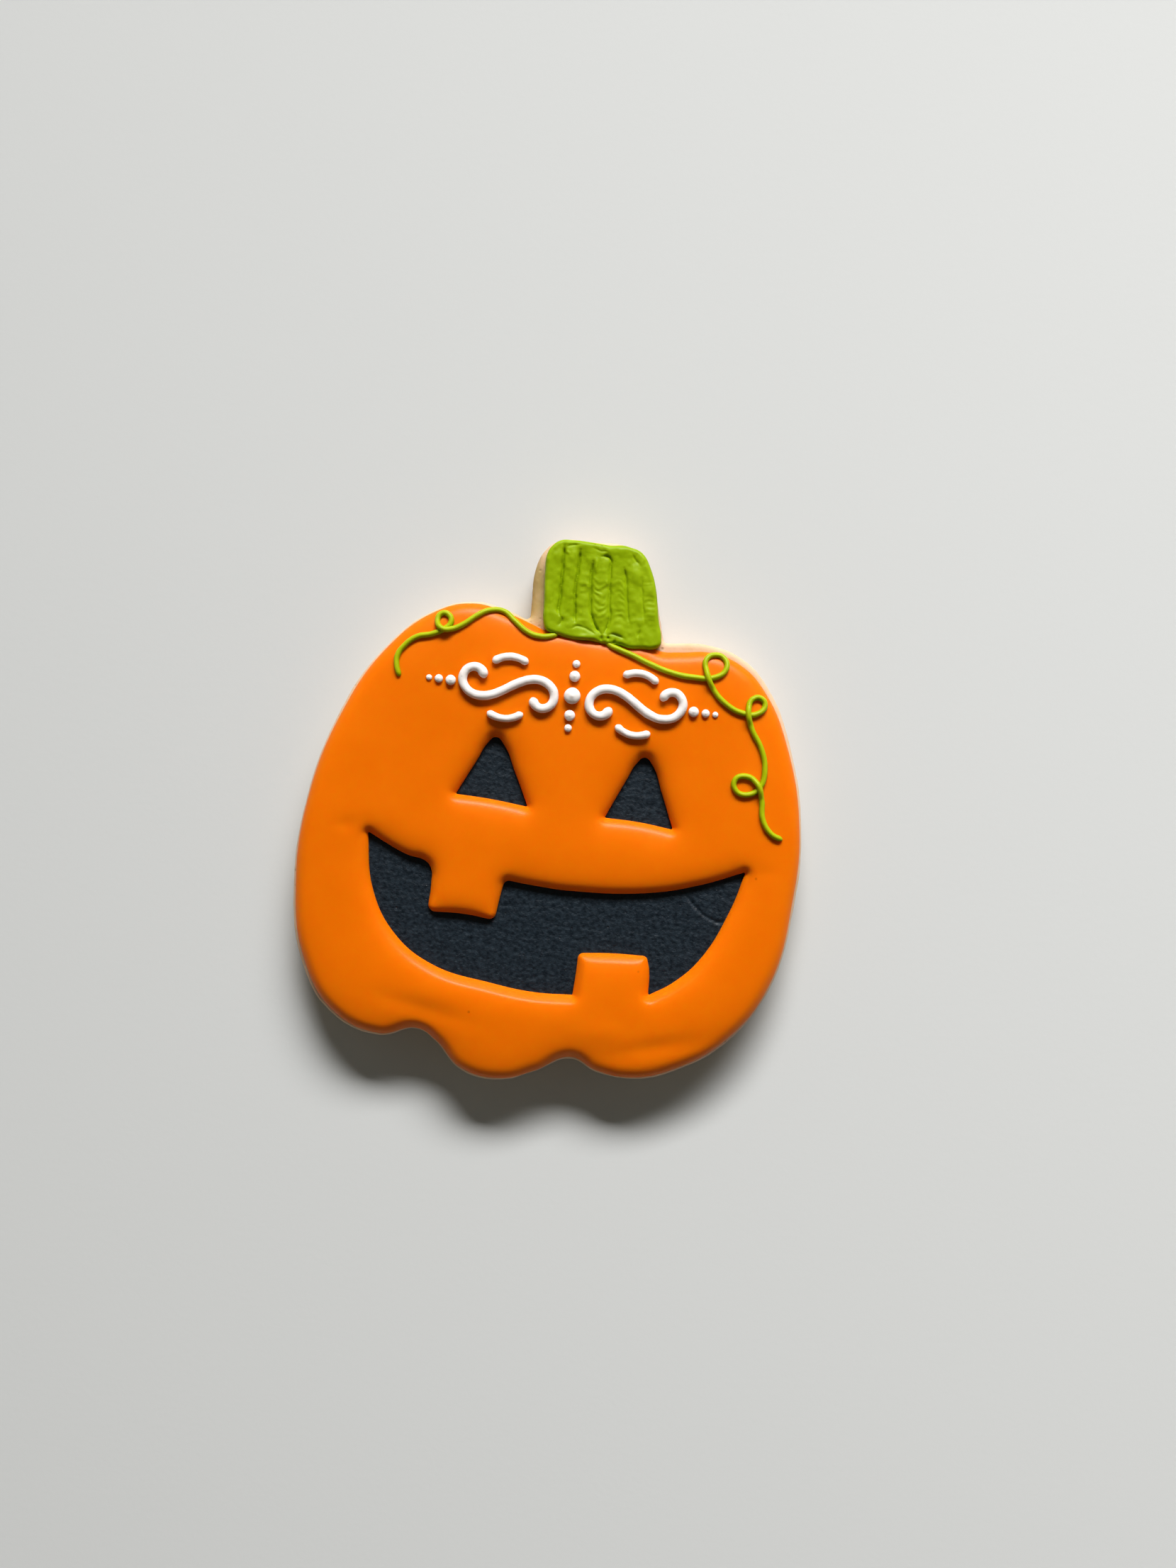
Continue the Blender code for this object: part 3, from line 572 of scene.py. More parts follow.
baked = {
    "crumb": (0.70, 0.465, 0.30), "golden": (0.63, 0.39, 0.20), "browned": (0.47, 0.26, 0.10),
    # tan: the bare place's colour beside the stem, partly a browner bake and partly painted shade where the stem's
    # shadow falls; the side below a depth takes a little of it as its bake
    "tan": (0.48, 0.34, 0.13), "tanAndShadeStrength": 1.9,
    "paleness": 0.30, "contrast": 1.5, "poreShade": 0.22,
    "browning": 0.75, "browningFrom": 0.5, "browningTo": 2.5, "browningWander": 1.2,   # heights on the side
    "mottle": 260.0, "grain": 1700.0, "pinhole": 620.0, "pinholeShare": 0.28, "pinholeWidth": 0.26,
    "roughness": (0.78, 0.95), "specular": 0.25, "bump": 0.7, "grainDepth": 0.09, "pinholeDepth": 0.16,
    "subsurface": 0.12, "reach": (1.2, 0.8, 0.4),
}


def startFinish(name, look, mottleSpan):
    # A material without its colour: the mottle's span spreads over the look's two roughnesses.
    made = bpy.data.materials.new(name)
    made.use_nodes = True
    tree = made.node_tree
    inputs = tree.nodes["Principled BSDF"].inputs
    place = out(tree, "ShaderNodeTexCoord", output="Object")
    skin = put(tree, "ShaderNodeGroup", {
        "Vector": place, "Grain Scale": look["grain"], "Mottle Scale": look["mottle"],
        "Pinhole Scale": look["pinhole"], "Pinhole Share": look["pinholeShare"],
        "Pinhole Width": look["pinholeWidth"]}, node_tree=skinGroup).outputs
    smooth, rough = look["roughness"]
    roughness = out(tree, "ShaderNodeMapRange", {
        "Value": skin["Mottle"], "From Min": mottleSpan[0], "From Max": mottleSpan[1],
        "To Min": smooth, "To Max": rough})
    height = sums(tree, "MULTIPLY", skin["Grain"], look["grainDepth"])
    height = sums(tree, "SUBTRACT", height, sums(tree, "MULTIPLY", skin["Pinholes"], look["pinholeDepth"]))
    normal = out(tree, "ShaderNodeBump", {"Strength": look["bump"], "Distance": mm, "Height": height})
    fill(tree, inputs, {
        "Roughness": roughness, "Normal": normal, "Specular IOR Level": look["specular"],
        "Subsurface Weight": look["subsurface"], "Subsurface Radius": look["reach"], "Subsurface Scale": mm})
    return made, tree, inputs["Base Color"], place, skin


def icingFinish(name):
    look = finishes[name]
    made, tree, colour, _, skin = startFinish(name, look, (0.3, 0.7))
    plug(tree, colour, out(tree, "ShaderNodeGroup", {
        "Deep": (*look["deep"], 1.0), "Pale": (*look["pale"], 1.0), "Mottle": skin["Mottle"],
        "Contrast": look["contrast"], "Pinholes": skin["Pinholes"]}, node_tree=tintGroup))
    return made


def biscuitFinish():
    look = baked
    made, tree, colour, place, skin = startFinish("baked_dough", look, (0.0, 1.0))
    top = out(tree, "ShaderNodeGroup", {
        "Deep": (*look["golden"], 1.0), "Pale": (*look["crumb"], 1.0), "Contrast": look["contrast"],
        "Mottle": sums(tree, "ADD", skin["Mottle"], look["paleness"]),
        "Pinholes": skin["Pinholes"], "Pinhole Shade": look["poreShade"]}, node_tree=tintGroup)
    # Tan in the bare place left of the stem: partly a browner bake, partly painted shade where the stem's shadow
    # falls. The side below a depth gets a little of the same tan.
    where = out(tree, "ShaderNodeAttribute", output="Fac", attribute_name="tanAndPaintedShade")
    share = sums(tree, "MULTIPLY", sums(tree, "MULTIPLY", where, skin["Mottle"]), look["tanAndShadeStrength"])
    tanAndPaintedShade = mixed(tree, out(tree, "ShaderNodeClamp", {"Value": share}), top, (*look["tan"], 1.0))
    height = out(tree, "ShaderNodeSeparateXYZ", {"Vector": place}, "Z")
    uneven = sums(tree, "MULTIPLY_ADD", skin["Mottle"], look["browningWander"] * mm, height)
    under = out(tree, "ShaderNodeMapRange", {
        "Value": uneven, "From Min": look["browningFrom"] * mm, "From Max": look["browningTo"] * mm,
        "To Min": look["browning"], "To Max": 0.0}, interpolation_type="SMOOTHSTEP")
    plug(tree, colour, mixed(tree, under, tanAndPaintedShade, (*look["browned"], 1.0)))
    return made


def tableFinish():
    made = bpy.data.materials.new("pale_table")
    made.use_nodes = True
    tree = made.node_tree
    place = out(tree, "ShaderNodeTexCoord", output="Object")
    fibre = out(tree, "ShaderNodeTexNoise", {"Vector": place, "Scale": 900.0, "Detail": 3.0})
    bump = out(tree, "ShaderNodeBump", {"Strength": 0.15, "Distance": 0.1 * mm, "Height": fibre})
    fill(tree, tree.nodes["Principled BSDF"].inputs, {
        "Base Color": (*table["colour"], 1.0), "Roughness": 0.9, "Specular IOR Level": 0.1, "Normal": bump})
    return made


# heights of the dough and of the orange flood


def eased(share):
    return share ** 2 * (3 - 2 * share)


def blended(grid, corner, share):
    # The grid's value between four of its points. Past its last row it starts again.
    x, y = corner.T
    u, v = share.T
    nextX, nextY = (x + 1) % grid.shape[0], (y + 1) % grid.shape[1]
    return ((grid[x, y] * (1 - u) + grid[nextX, y] * u) * (1 - v)
            + (grid[x, nextY] * (1 - u) + grid[nextX, nextY] * u) * v)


def bareShare(points):
    # How much each point belongs to the bare place left of the stem, which rounds over further and is tanned: partly a
    # browner bake, partly painted shade where the stem's shadow falls.
    offset = (points - biscuit["shoulderPlace"]) / biscuit["shoulderReach"]
    return np.exp(-(offset ** 2).sum(1))


def doughHeight(rim, points):
    radius = biscuit["topEdge"] + biscuit["shoulder"] * bareShare(points)
    inland = np.clip(rimDistance([rim], points) / radius, 0, 1)
    return biscuit["thickness"] - radius + radius * np.sqrt(1 - (1 - inland) ** 2)


def rimFullness(rims, points):
    # How full the flood stands beside the nearest rim, how far that rim is, and the reach over which it fills.
    look = orangeIcing
    outer, openings = rimDistance(rims[:1], points), rimDistance(rims[1:], points)
    nearness = openings / np.maximum(outer + openings, 1e-6)
    reach = look["openingReach"] + (look["outerReach"] - look["openingReach"]) * eased(nearness)
    distance = np.minimum(outer, openings)
    return 1 - np.exp(-distance / reach), distance, reach


def settlePool(rims):
    # A square grid of how full the flood stands: a skin that is pinned at the rims and pulled up
    # everywhere, and that gives way over a longer reach beside the outer rim.
    cell = orangeIcing["cell"]
    low = rims[0].min(axis=0) - 2 * cell
    count = np.ceil((rims[0].max(axis=0) + 2 * cell - low) / cell).astype(int) + 1
    x, y = np.meshgrid(np.arange(count[0]), np.arange(count[1]), indexing="ij")
    points = low + np.c_[x.ravel(), y.ravel()] * cell
    fullness, distance, reach = rimFullness(rims, points)
    inside = insideRims(rims, points)
    fullness = np.where(inside, fullness, -np.minimum(distance, 2 * cell) / reach)
    pinned = (~inside | (distance < cell)).reshape(count)
    start, pull = fullness.reshape(count), (reach.reshape(count) / cell) ** 2
    fullness = start
    for _ in range(500):
        around = np.zeros(count)
        around[1:-1, 1:-1] = fullness[2:, 1:-1] + fullness[:-2, 1:-1] + fullness[1:-1, 2:] + fullness[1:-1, :-2]
        fullness = np.where(pinned, start, (1 + pull * around) / (1 + 4 * pull))
    return low, fullness


def poolShare(points):
    low, fullness = pool
    place = (points - low) / orangeIcing["cell"]
    corner = np.clip(place.astype(int), 0, np.array(fullness.shape) - 2)
    return blended(fullness, corner, np.clip(place - corner, 0, 1))


def floodHeight(rims, points):
    look = orangeIcing
    fullness, distance, _ = rimFullness(rims, points)
    fullness += (poolShare(points) - fullness) * eased(np.clip(distance / look["poolFrom"], 0, 1))
    height = biscuit["thickness"] + look["shoulder"] + look["softRise"] * fullness
    for edges, lip, width in zip((rims[:1], rims[1:]), look["lips"], look["roundings"]):
        short = 1 - np.clip(rimDistance(edges, points) / width, 0, 1)
        height -= (look["shoulder"] - lip) * (1 - np.sqrt(1 - short ** 2))
    inland = np.clip(distance / look["reliefFrom"], 0, 1) ** 2
    for (x, y), length, width, tilt, swell in orangeRelief:
        turn = math.radians(tilt)
        u = (points[:, 0] - x) * math.cos(turn) + (points[:, 1] - y) * math.sin(turn)
        v = (points[:, 1] - y) * math.cos(turn) - (points[:, 0] - x) * math.sin(turn)
        height += swell * np.exp(-(u / length) ** 2 - (v / width) ** 2) * inland
    return height


def carriedHeight(rims, points):
    # Height of what carries a piped line: the orange flood, or the biscuit beside it.
    return np.where(insideRims(rims, points), floodHeight(rims, points), biscuit["thickness"])


# the pieces


def addPiece(name, mesh, tree, values, nodes):
    piece = shaped(bpy.data.objects.new(name, mesh), tree, values)
    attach(piece, "root")
    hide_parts(*nodes)
    return piece


def bakeBiscuit():
    look = biscuit
    rim = traceLine(look["outline"], look["step"])
    thick, under = look["thickness"], look["underEdge"]
    top = sheetPoints([rim], look["rings"], look["inlandStep"])
    height = doughHeight(rim, top)
    edge = height[:len(rim)]
    rows = [(-look["bulge"] * (1 - (2 * share - 1) ** 2), edge * (1 - share) + under * share)
            for share in np.linspace(0.06, 1, 14)]
    rows += [(under * (1 - math.cos(angle)), under - under * math.sin(angle))
             for angle in map(math.radians, (18, 36, 54, 72, 90))]
    base = sheetPoints([movedInland(rim, rows[-1][0])], (), look["underStep"])
    mesh = slabMesh("biscuit", [rim], top, height, rows, base, 0.0)
    places = np.array([vertex.co for vertex in mesh.vertices]) / mm
    levels = places[:, 2]
    keepValues(mesh, "skin", np.clip(levels, 0, 1))
    # The bare place left of the stem is tanned, partly as a browner bake and partly as painted shade of the stem's
    # shadow; the side below a depth takes a little tan of its own.
    tanAndPaintedShade = np.clip(look["tan"] * bareShare(places[:, :2]), 0, 1)
    keepValues(mesh, "tanAndPaintedShade", tanAndPaintedShade + look["sideTan"] * (levels < thick - look["sideDepth"]))
    addPiece("biscuit_dough", mesh, settledTree, {
        "Broad Height": 0.36 * mm, "Broad Size": 7.0 * mm, "Fine Height": 0.18 * mm, "Fine Size": 1.1 * mm,
        "Seed": 3.0, "Finish": biscuitFinish(),
    }, ["biscuit"])
    print("biscuit baked")
    return rim


def icingEdges():
    openings = [traceLine(outline, orangeIcing["step"])[::-1] for outline in faceOutlines.values()]
    return [traceLine(orangeIcing["outline"], orangeIcing["step"]), *openings]


def floodOrange(rims):
    look = orangeIcing
    points = sheetPoints(rims, look["rings"], look["inlandStep"])
    lowRims = [movedInland(rim, look["foot"]) for rim in rims]
    ground = doughHeight(doughRim, np.concatenate(lowRims))
    widest = floodHeight(rims, np.concatenate(rims))
    rows = [(inland, ground + share * (widest - ground)) for inland, share in look["side"]]
    rows.append((look["foot"], ground - look["sunk"]))
    base = sheetPoints(lowRims, (), look["underStep"])
    under = biscuit["thickness"] - look["sunk"]
    mesh = slabMesh("orange", rims, points, floodHeight(rims, points), rows, base, under)
    keepValues(mesh, "skin", np.clip((rimDistance(rims, points) - look["evenRim"]) / look["evenFade"], 0, 1))
    addPiece("orange_flood", mesh, settledTree, {
        "Broad Height": 0.14 * mm, "Broad Size": 11.0 * mm, "Fine Height": 0.014 * mm, "Fine Size": 2.6 * mm,
        "Seed": 11.0, "Finish": icingFinish("orange_icing"),
    }, ["orange_icing"])
    print("orange flood", len(points), "points")


def paintFace():
    look = blackIcing
    finish = icingFinish("black_icing")
    thick = biscuit["thickness"]
    for number, (name, outline) in enumerate(faceOutlines.items()):
        rim = movedInland(traceLine(outline, look["step"]), -look["overlap"])
        points = sheetPoints([rim], (0.15,), look["inlandStep"])
        height = np.full(len(points), thick + look["top"])
        if name == "mouth_icing":
            gap, _, ends = alongRoute(look["scratch"], 0.3, points)
            height -= look["scratchDepth"] * np.exp(-(gap / look["scratchWidth"]) ** 2) * ends
        rows = [(0.0, thick + 0.1), (0.0, thick - look["sunk"])]
        base = sheetPoints([movedInland(rim, 0.0)], (), look["underStep"])
        mesh = slabMesh(name, [rim], points, height, rows, base, rows[-1][1])
        keepValues(mesh, "skin", np.ones(len(points)))
        addPiece(name.replace("icing", "floor"), mesh, settledTree, {
            "Broad Height": 0.16 * mm, "Broad Size": 5.0 * mm, "Fine Height": 0.22 * mm, "Fine Size": 0.8 * mm,
            "Streak Height": 0.16 * mm, "Streak Width": 0.8 * mm, "Streak Turn": math.radians(9),
            "Seed": 20.0 + number, "Finish": finish,
        }, [name])
    print("mouth and eyes painted")


# piped lines

tendrils = {
    "radius": 0.70, "sink": 0.50, "hop": 0.72, "flatness": 0.74, "step": 0.2,
    "routes": {
        "left": [
            (-26.9, 24.4), (-27.4, 26.3), (-27.3, 28.1), (-26.0, 30.0), (-23.7, 31.6), (-20.9, 32.1),
            (-18.9, 32.9), (-17.5, 34.2), (-17.9, 35.6), (-19.2, 35.9), (-20.0, 34.6), (-19.1, 33.0),
            (-17.2, 33.0), (-15.1, 33.9), (-12.7, 35.5), (-10.3, 36.5), (-7.9, 36.3), (-6.0, 34.6),
            (-3.6, 32.5), (-1.8, 31.75), (0.2, 31.65), (1.9, 32.1),
        ],
        "right": [
            (10.7, 31.0), (11.6, 30.0), (13.2, 29.2), (15.3, 28.3), (18.3, 26.8), (22.6, 25.0), (26.9, 24.1),
            (30.6, 24.1), (32.6, 25.4), (32.6, 27.4), (30.8, 28.3), (29.1, 27.4), (29.1, 25.2), (30.4, 21.8),
            (32.9, 19.0), (35.6, 17.6), (38.2, 17.4), (39.8, 18.9), (39.1, 20.3), (37.6, 20.2), (36.7, 18.2),
            (37.3, 14.8), (39.0, 11.2), (39.7, 7.5), (38.7, 3.9), (36.3, 2.7), (34.3, 3.6), (34.3, 5.5), (36.1, 6.1),
            (38.1, 4.9), (39.1, 1.8), (39.3, -1.8), (40.8, -4.4), (42.8, -5.5),
        ],
    },
}

flourish = {
    "middle": (4.6, 20.7), "tilt": -7.5,
    "scrollSpan": (3.2, 20.2), "scrollTurns": 0.84, "scrollSlope": -34, "scrollRadius": 0.80,
    "commas": {"upper": ((8.9, 4.9), 32, -74, 6.6), "lower": ((14.8, -4.9), 212, -74, 6.6)},
    "commaRadius": 0.68, "sink": 0.26, "hop": 1.2,
    "middleBeads": [(0.0, 0.0, 1.5), (0.0, 3.6, 1.0), (0.0, 5.9, 0.7), (0.0, -3.6, 1.0), (0.0, -5.9, 0.7)],
    "endBeads": [(22.3, 0.0, 0.95), (24.5, 0.0, 0.75), (26.3, 0.0, 0.55)],
    "beadFlatness": 0.66, "beadSink": 0.22,
}


def walked(route):
    distances = np.r_[0, np.cumsum(np.linalg.norm(np.diff(route, axis=0), axis=1))]
    return distances, distances[-1]


def roundedEnds(places, length, radius):
    fromEnd = np.clip(np.minimum(places, length - places) / radius, 0, 1)
    return radius * np.sqrt(np.maximum(1 - (1 - fromEnd) ** 2, 0.0004))


def endStations(length, radius, step):
    # Distances along a line, closer together at its two round ends.
    close = radius * (1 - np.cos(np.linspace(0, math.pi / 2, 8)[:-1]))
    inner = np.linspace(radius, length - radius, max(2, round((length - 2 * radius) / step)) + 1)
    return np.concatenate([close, inner, (length - close)[::-1]])


def routeCrossings(route, distances):
    found = []
    start, side = route[:-1], np.diff(route, axis=0)
    for later in range(2, len(side)):
        earlier = np.arange(later - 1)
        turn = side[later][0] * side[earlier][:, 1] - side[later][1] * side[earlier][:, 0]
        turn = np.where(turn == 0, 1e-9, turn)
        offset = start[earlier] - start[later]
        share = (offset[:, 0] * side[earlier][:, 1] - offset[:, 1] * side[earlier][:, 0]) / turn
        other = (offset[:, 0] * side[later][1] - offset[:, 1] * side[later][0]) / turn
        for place in share[(share >= 0) & (share < 1) & (other >= 0) & (other < 1)]:
            found.append(distances[later] + place * np.linalg.norm(side[later]))
    return found


def lineMesh(name, points, radii, joined=True):
    # Points and how thick the icing is at each, joined into one open line or left as dots.
    mesh = bpy.data.meshes.new(name)
    mesh.from_pydata((points * mm).tolist(), [(i, i + 1) for i in range(len(points) - 1)] if joined else [], [])
    keepValues(mesh, "thickness", radii * mm)
    return mesh


def pipedLine(route, radius, sink, hop, rims, endSwell=0.0):
    # Points and radii of a line piped on the icing, hopping where it crosses itself.
    distances, length = walked(route)
    places = endStations(length, radius, tendrils["step"])
    line = np.c_[np.interp(places, distances, route[:, 0]), np.interp(places, distances, route[:, 1])]
    radii = roundedEnds(places, length, radius)
    swell = np.exp(-(np.minimum(places, length - places) / (1.5 * radius)) ** 2)
    radii = radii * (1 + endSwell * swell)
    direction = np.gradient(line, places, axis=0)
    direction /= np.linalg.norm(direction, axis=1)[:, None]
    across = np.c_[-direction[:, 1], direction[:, 0]] * radii[:, None]
    height = np.full(len(line), -np.inf)
    for share in (-0.8, -0.4, 0.0, 0.4, 0.8):
        under = carriedHeight(rims, line + share * across) + radii * math.sqrt(1 - share ** 2)
        height = np.maximum(height, under)
    kernel = np.hanning(15)
    height = np.convolve(np.pad(height, 7, mode="edge"), kernel / kernel.sum(), mode="valid") - sink
    for crossing in routeCrossings(route, distances):
        height += hop * np.exp(-(((places - crossing) / (2.1 * radius)) ** 2) ** 1.4)
    return np.c_[line, height], radii


def addLine(name, node, line, values):
    addPiece(name, lineMesh(name, *line), pipedTree, values, [node])


def pipeTendrils(rims):
    look = tendrils
    finish = icingFinish("green_tendril_icing")
    for number, (side, route) in enumerate(look["routes"].items()):
        line = pipedLine(traceLine(route, 0.25, closed=False), look["radius"], look["sink"], look["hop"], rims)
        addLine("tendril_line_" + side, "tendril_" + side, line, {
            "Sides": 24, "Flatness": look["flatness"], "Lump Height": 0.10 * mm, "Lump Size": 2.0 * mm,
            "Fine Height": 0.02 * mm, "Fine Size": 0.45 * mm, "Seed": 31.0 + number, "Finish": finish,
        })
    print("tendrils piped")


def onForehead(points, side=1):
    tilt = math.radians(flourish["tilt"])
    turn = np.array([[math.cos(tilt), math.sin(tilt)], [-math.sin(tilt), math.cos(tilt)]])
    return np.array(flourish["middle"]) + np.array(points) * (side, 1) @ turn


def walkAlong(headings, length):
    steps = np.c_[np.cos(headings), np.sin(headings)] * length / (len(headings) - 1)
    return np.r_[[(0.0, 0.0)], np.cumsum((steps[1:] + steps[:-1]) / 2, axis=0)]


def scrollRoute():
    share = np.linspace(-1, 1, 181)
    headings = math.radians(flourish["scrollSlope"]) + flourish["scrollTurns"] * math.tau * share ** 2
    route = walkAlong(headings, 1.0)
    low, high = route.min(axis=0), route.max(axis=0)
    start, end = flourish["scrollSpan"]
    return (route - (low[0], (low[1] + high[1]) / 2)) * (end - start) / (high[0] - low[0]) + (start, 0.0)


def pipeFlourish(rims):
    look = flourish
    finish = icingFinish("white_icing")
    lumpy = {"Sides": 26, "Lump Height": 0.22 * mm, "Lump Size": 1.7 * mm, "Fine Height": 0.05 * mm,
             "Fine Size": 0.4 * mm, "Finish": finish}
    dots = [(place, 1, f"middle_{number}") for number, place in enumerate(look["middleBeads"], 1)]
    for order, (side, name) in enumerate(((-1, "left"), (1, "right"))):
        line = pipedLine(onForehead(scrollRoute(), side), look["scrollRadius"], look["sink"], look["hop"], rims, 0.16)
        addLine("scroll_line_" + name, "scroll_" + name, line, {**lumpy, "Seed": 41.0 + order})
        for place, (start, heading, turn, length) in look["commas"].items():
            headings = np.radians(heading + turn * np.linspace(0, 1, 60))
            route = onForehead(np.array(start) + walkAlong(headings, length), side)
            line = pipedLine(route, look["commaRadius"], look["sink"], look["hop"], rims, 0.12)
            addLine(f"comma_line_{place}_{name}", f"comma_{place}_{name}", line,
                    {**lumpy, "Seed": 51.0 + order})
        dots += [(place, side, f"{name}_{number}") for number, place in enumerate(look["endBeads"], 1)]
    places = np.array([onForehead([place[:2]], side)[0] for place, side, _ in dots])
    radii = np.array([place[2] for place, _, _ in dots])
    height = carriedHeight(rims, places) + radii * look["beadFlatness"] - look["beadSink"]
    addPiece("beads", lineMesh("beads", np.c_[places, height], radii, joined=False), beadTree, {
        "Flatness": look["beadFlatness"], "Peak": 0.10, "Lump Height": 0.12 * mm, "Lump Size": 1.2 * mm,
        "Seed": 61.0, "Finish": finish,
    }, ["bead_" + name for _, _, name in dots])
    print("flourish piped,", len(dots), "beads")


# the stem

stem = {
    "outline": [
        (2.7, 49.3), (1.0, 48.3), (0.0, 46.7), (-0.35, 44.0), (-0.5, 41.0), (-0.6, 37.5), (-0.7, 34.6),
        (-0.3, 33.1), (0.8, 32.3), (2.4, 31.8), (3.6, 31.4), (5.0, 31.1), (8.4, 30.8), (9.8, 30.45), (11.5, 30.1),
        (13.5, 30.0), (15.0, 29.5), (17.0, 29.4), (19.4, 29.35), (20.6, 29.9), (20.9, 31.4), (20.5, 34.0),
        (20.2, 37.5), (20.0, 39.7), (19.6, 42.0), (18.8, 44.5), (18.0, 46.2), (16.9, 47.3), (15.3, 47.9),
        (13.9, 48.3), (12.0, 48.25), (10.0, 48.55), (7.6, 48.95), (4.6, 49.3),
    ],
    "lip": 1.8, "rise": 0.9, "roll": 0.8,      # the side's height, then the rise over the roll's width
    "side": ((-0.03, 0.75), (0.0, 0.45), (0.08, 0.15)),    # inland, share of the side's height
    "rimStep": 0.3, "step": 0.15, "rings": (0.03, 0.09, 0.18, 0.3), "underStep": 4.0,
    "wander": 0.10, "threadWidth": 0.3,
    "grooveDepth": 1.05, "grooveWidth": 0.21, "grooveSlope": 0.85,
    "lumps": ((0.13, 2.1, 9), (0.05, 0.75, 10)),           # height, size, seed
    # grooves between the piped strips: route, depth
    "grooves": [
        ([(3.15, 48.2), (3.05, 46.0), (2.86, 43.3), (2.45, 40.0), (2.25, 37.6), (2.1, 36.6), (2.25, 35.5)], 1.0),
        ([(2.3, 35.4), (2.75, 34.7), (2.6, 34.1), (1.9, 33.75)], 0.35),
        ([(3.4, 47.95), (4.3, 48.25), (6.3, 48.35)], 0.25),
        ([(6.1, 47.3), (5.95, 45.3), (5.5, 42.5), (5.2, 40.0), (5.05, 37.0), (5.15, 34.3)], 0.9),
        ([(8.4, 45.2), (8.1, 43.0), (8.0, 40.0), (7.93, 38.0), (8.0, 36.2), (8.35, 34.7), (9.0, 33.2),
          (9.8, 32.2)], 0.85),
        ([(8.3, 47.8), (9.0, 47.5), (10.2, 47.15), (11.6, 46.9)], 0.2),
        ([(10.0, 46.2), (11.0, 46.1), (11.6, 45.8), (11.6, 44.2), (11.45, 41.0), (11.4, 37.5), (11.35, 34.6),
          (10.9, 33.1), (10.5, 32.2)], 0.65),
        ([(14.1, 44.0), (14.5, 41.0), (14.6, 38.0), (14.75, 35.5), (14.9, 34.0)], 0.5),
        ([(17.3, 42.2), (17.4, 38.0), (17.6, 36.0), (17.7, 34.5)], 0.28),
        ([(16.9, 33.1), (16.7, 32.0), (16.7, 30.9)], 0.4),
        ([(15.6, 46.7), (16.1, 45.6), (17.0, 44.4)], 0.3),
        ([(1.1, 40.2), (1.0, 37.0)], 0.16),
        ([(4.3, 33.1), (5.6, 33.45), (6.7, 33.2), (8.1, 32.4), (8.9, 32.0)], 0.28),
        ([(11.0, 31.8), (12.0, 32.0), (13.2, 31.6), (14.1, 31.2)], 0.36),
        ([(11.9, 30.65), (12.7, 30.5)], 0.6),
        ([(10.05, 32.0), (9.95, 31.2), (10.0, 30.5)], 0.5),
        ([(11.1, 31.6), (11.0, 30.8)], 0.45),
    ],
    # raised threads: route, height
    "threads": [
        ([(9.07, 46.2), (8.95, 44.5), (8.9, 42.9)], 0.24),
        ([(3.65, 47.6), (3.75, 46.9), (4.4, 46.5)], 0.14),
        ([(10.4, 42.0), (10.9, 41.4), (11.1, 40.6)], 0.10),
    ],
    # swells: middle, half length, half width, height
    "swells": [
        ((5.0, 46.3), 0.9, 1.0, 0.20), ((2.1, 46.2), 0.8, 1.0, 0.16), ((8.0, 46.0), 0.9, 1.1, 0.18),
        ((15.9, 42.5), 1.2, 1.3, 0.26), ((13.2, 32.5), 0.9, 1.0, 0.20), ((17.1, 34.1), 0.6, 0.7, 0.12),
        ((7.6, 40.9), 0.6, 0.45, 0.12), ((10.5, 44.2), 0.9, 1.1, 0.14), ((7.3, 31.5), 1.3, 0.5, 0.10),
        ((10.55, 31.1), 0.42, 0.9, 0.18), ((13.0, 47.2), 1.6, 0.7, 0.10), ((17.3, 45.9), 0.7, 1.1, 0.14),
    ],
    # ripples: route along the middle, half width, height, spacing, bow
    "ripples": [
        ([(10.0, 32.6), (9.8, 37.0), (9.8, 43.0)], 1.6, 0.055, 1.25, -0.55),
        ([(13.0, 33.0), (13.0, 38.0), (13.0, 42.6)], 1.4, 0.050, 1.15, 0.50),
        ([(6.6, 33.8), (6.6, 38.0), (7.0, 43.6)], 1.2, 0.035, 1.9, 0.20),
        ([(19.1, 32.5), (18.9, 37.0), (18.4, 42.0)], 1.3, 0.045, 0.95, 0.10),
        ([(16.0, 31.5), (15.9, 36.0), (15.8, 42.0)], 1.2, 0.022, 2.1, 0.25),
        ([(3.8, 34.0), (3.8, 38.0), (4.4, 45.0)], 1.2, 0.022, 2.3, -0.20),
    ],
}


def softNoise(points, size, seed):
    # Smooth random values from -1 to 1 that change over the given size.
    lattice = np.random.default_rng(seed).uniform(-1, 1, (128, 128))
    place = points / size
    corner = np.floor(place).astype(int)
    return blended(lattice, corner % 128, eased(place - corner))


def alongRoute(anchors, step, points):
    # For each point: its distance from the route, how far along it is, and how near to the route's ends (0 to 1).
    route = traceLine(anchors, step, closed=False)
    start, side = route[:-1], np.diff(route, axis=0)
    distances, length = walked(route)
    offset = points[:, None] - start[None]
    share = np.clip((offset * side).sum(2) / (side ** 2).sum(1), 0, 1)
    gap = offset - share[..., None] * side
    gaps = (gap ** 2).sum(2)
    best = gaps.argmin(1)
    row = np.arange(len(points))
    along = distances[best] + share[row, best] * np.diff(distances)[best]
    ends = np.clip(np.minimum(along, length - along) / min(1.2, length / 2), 0, 1)
    return np.sqrt(gaps[row, best]), along, eased(ends)


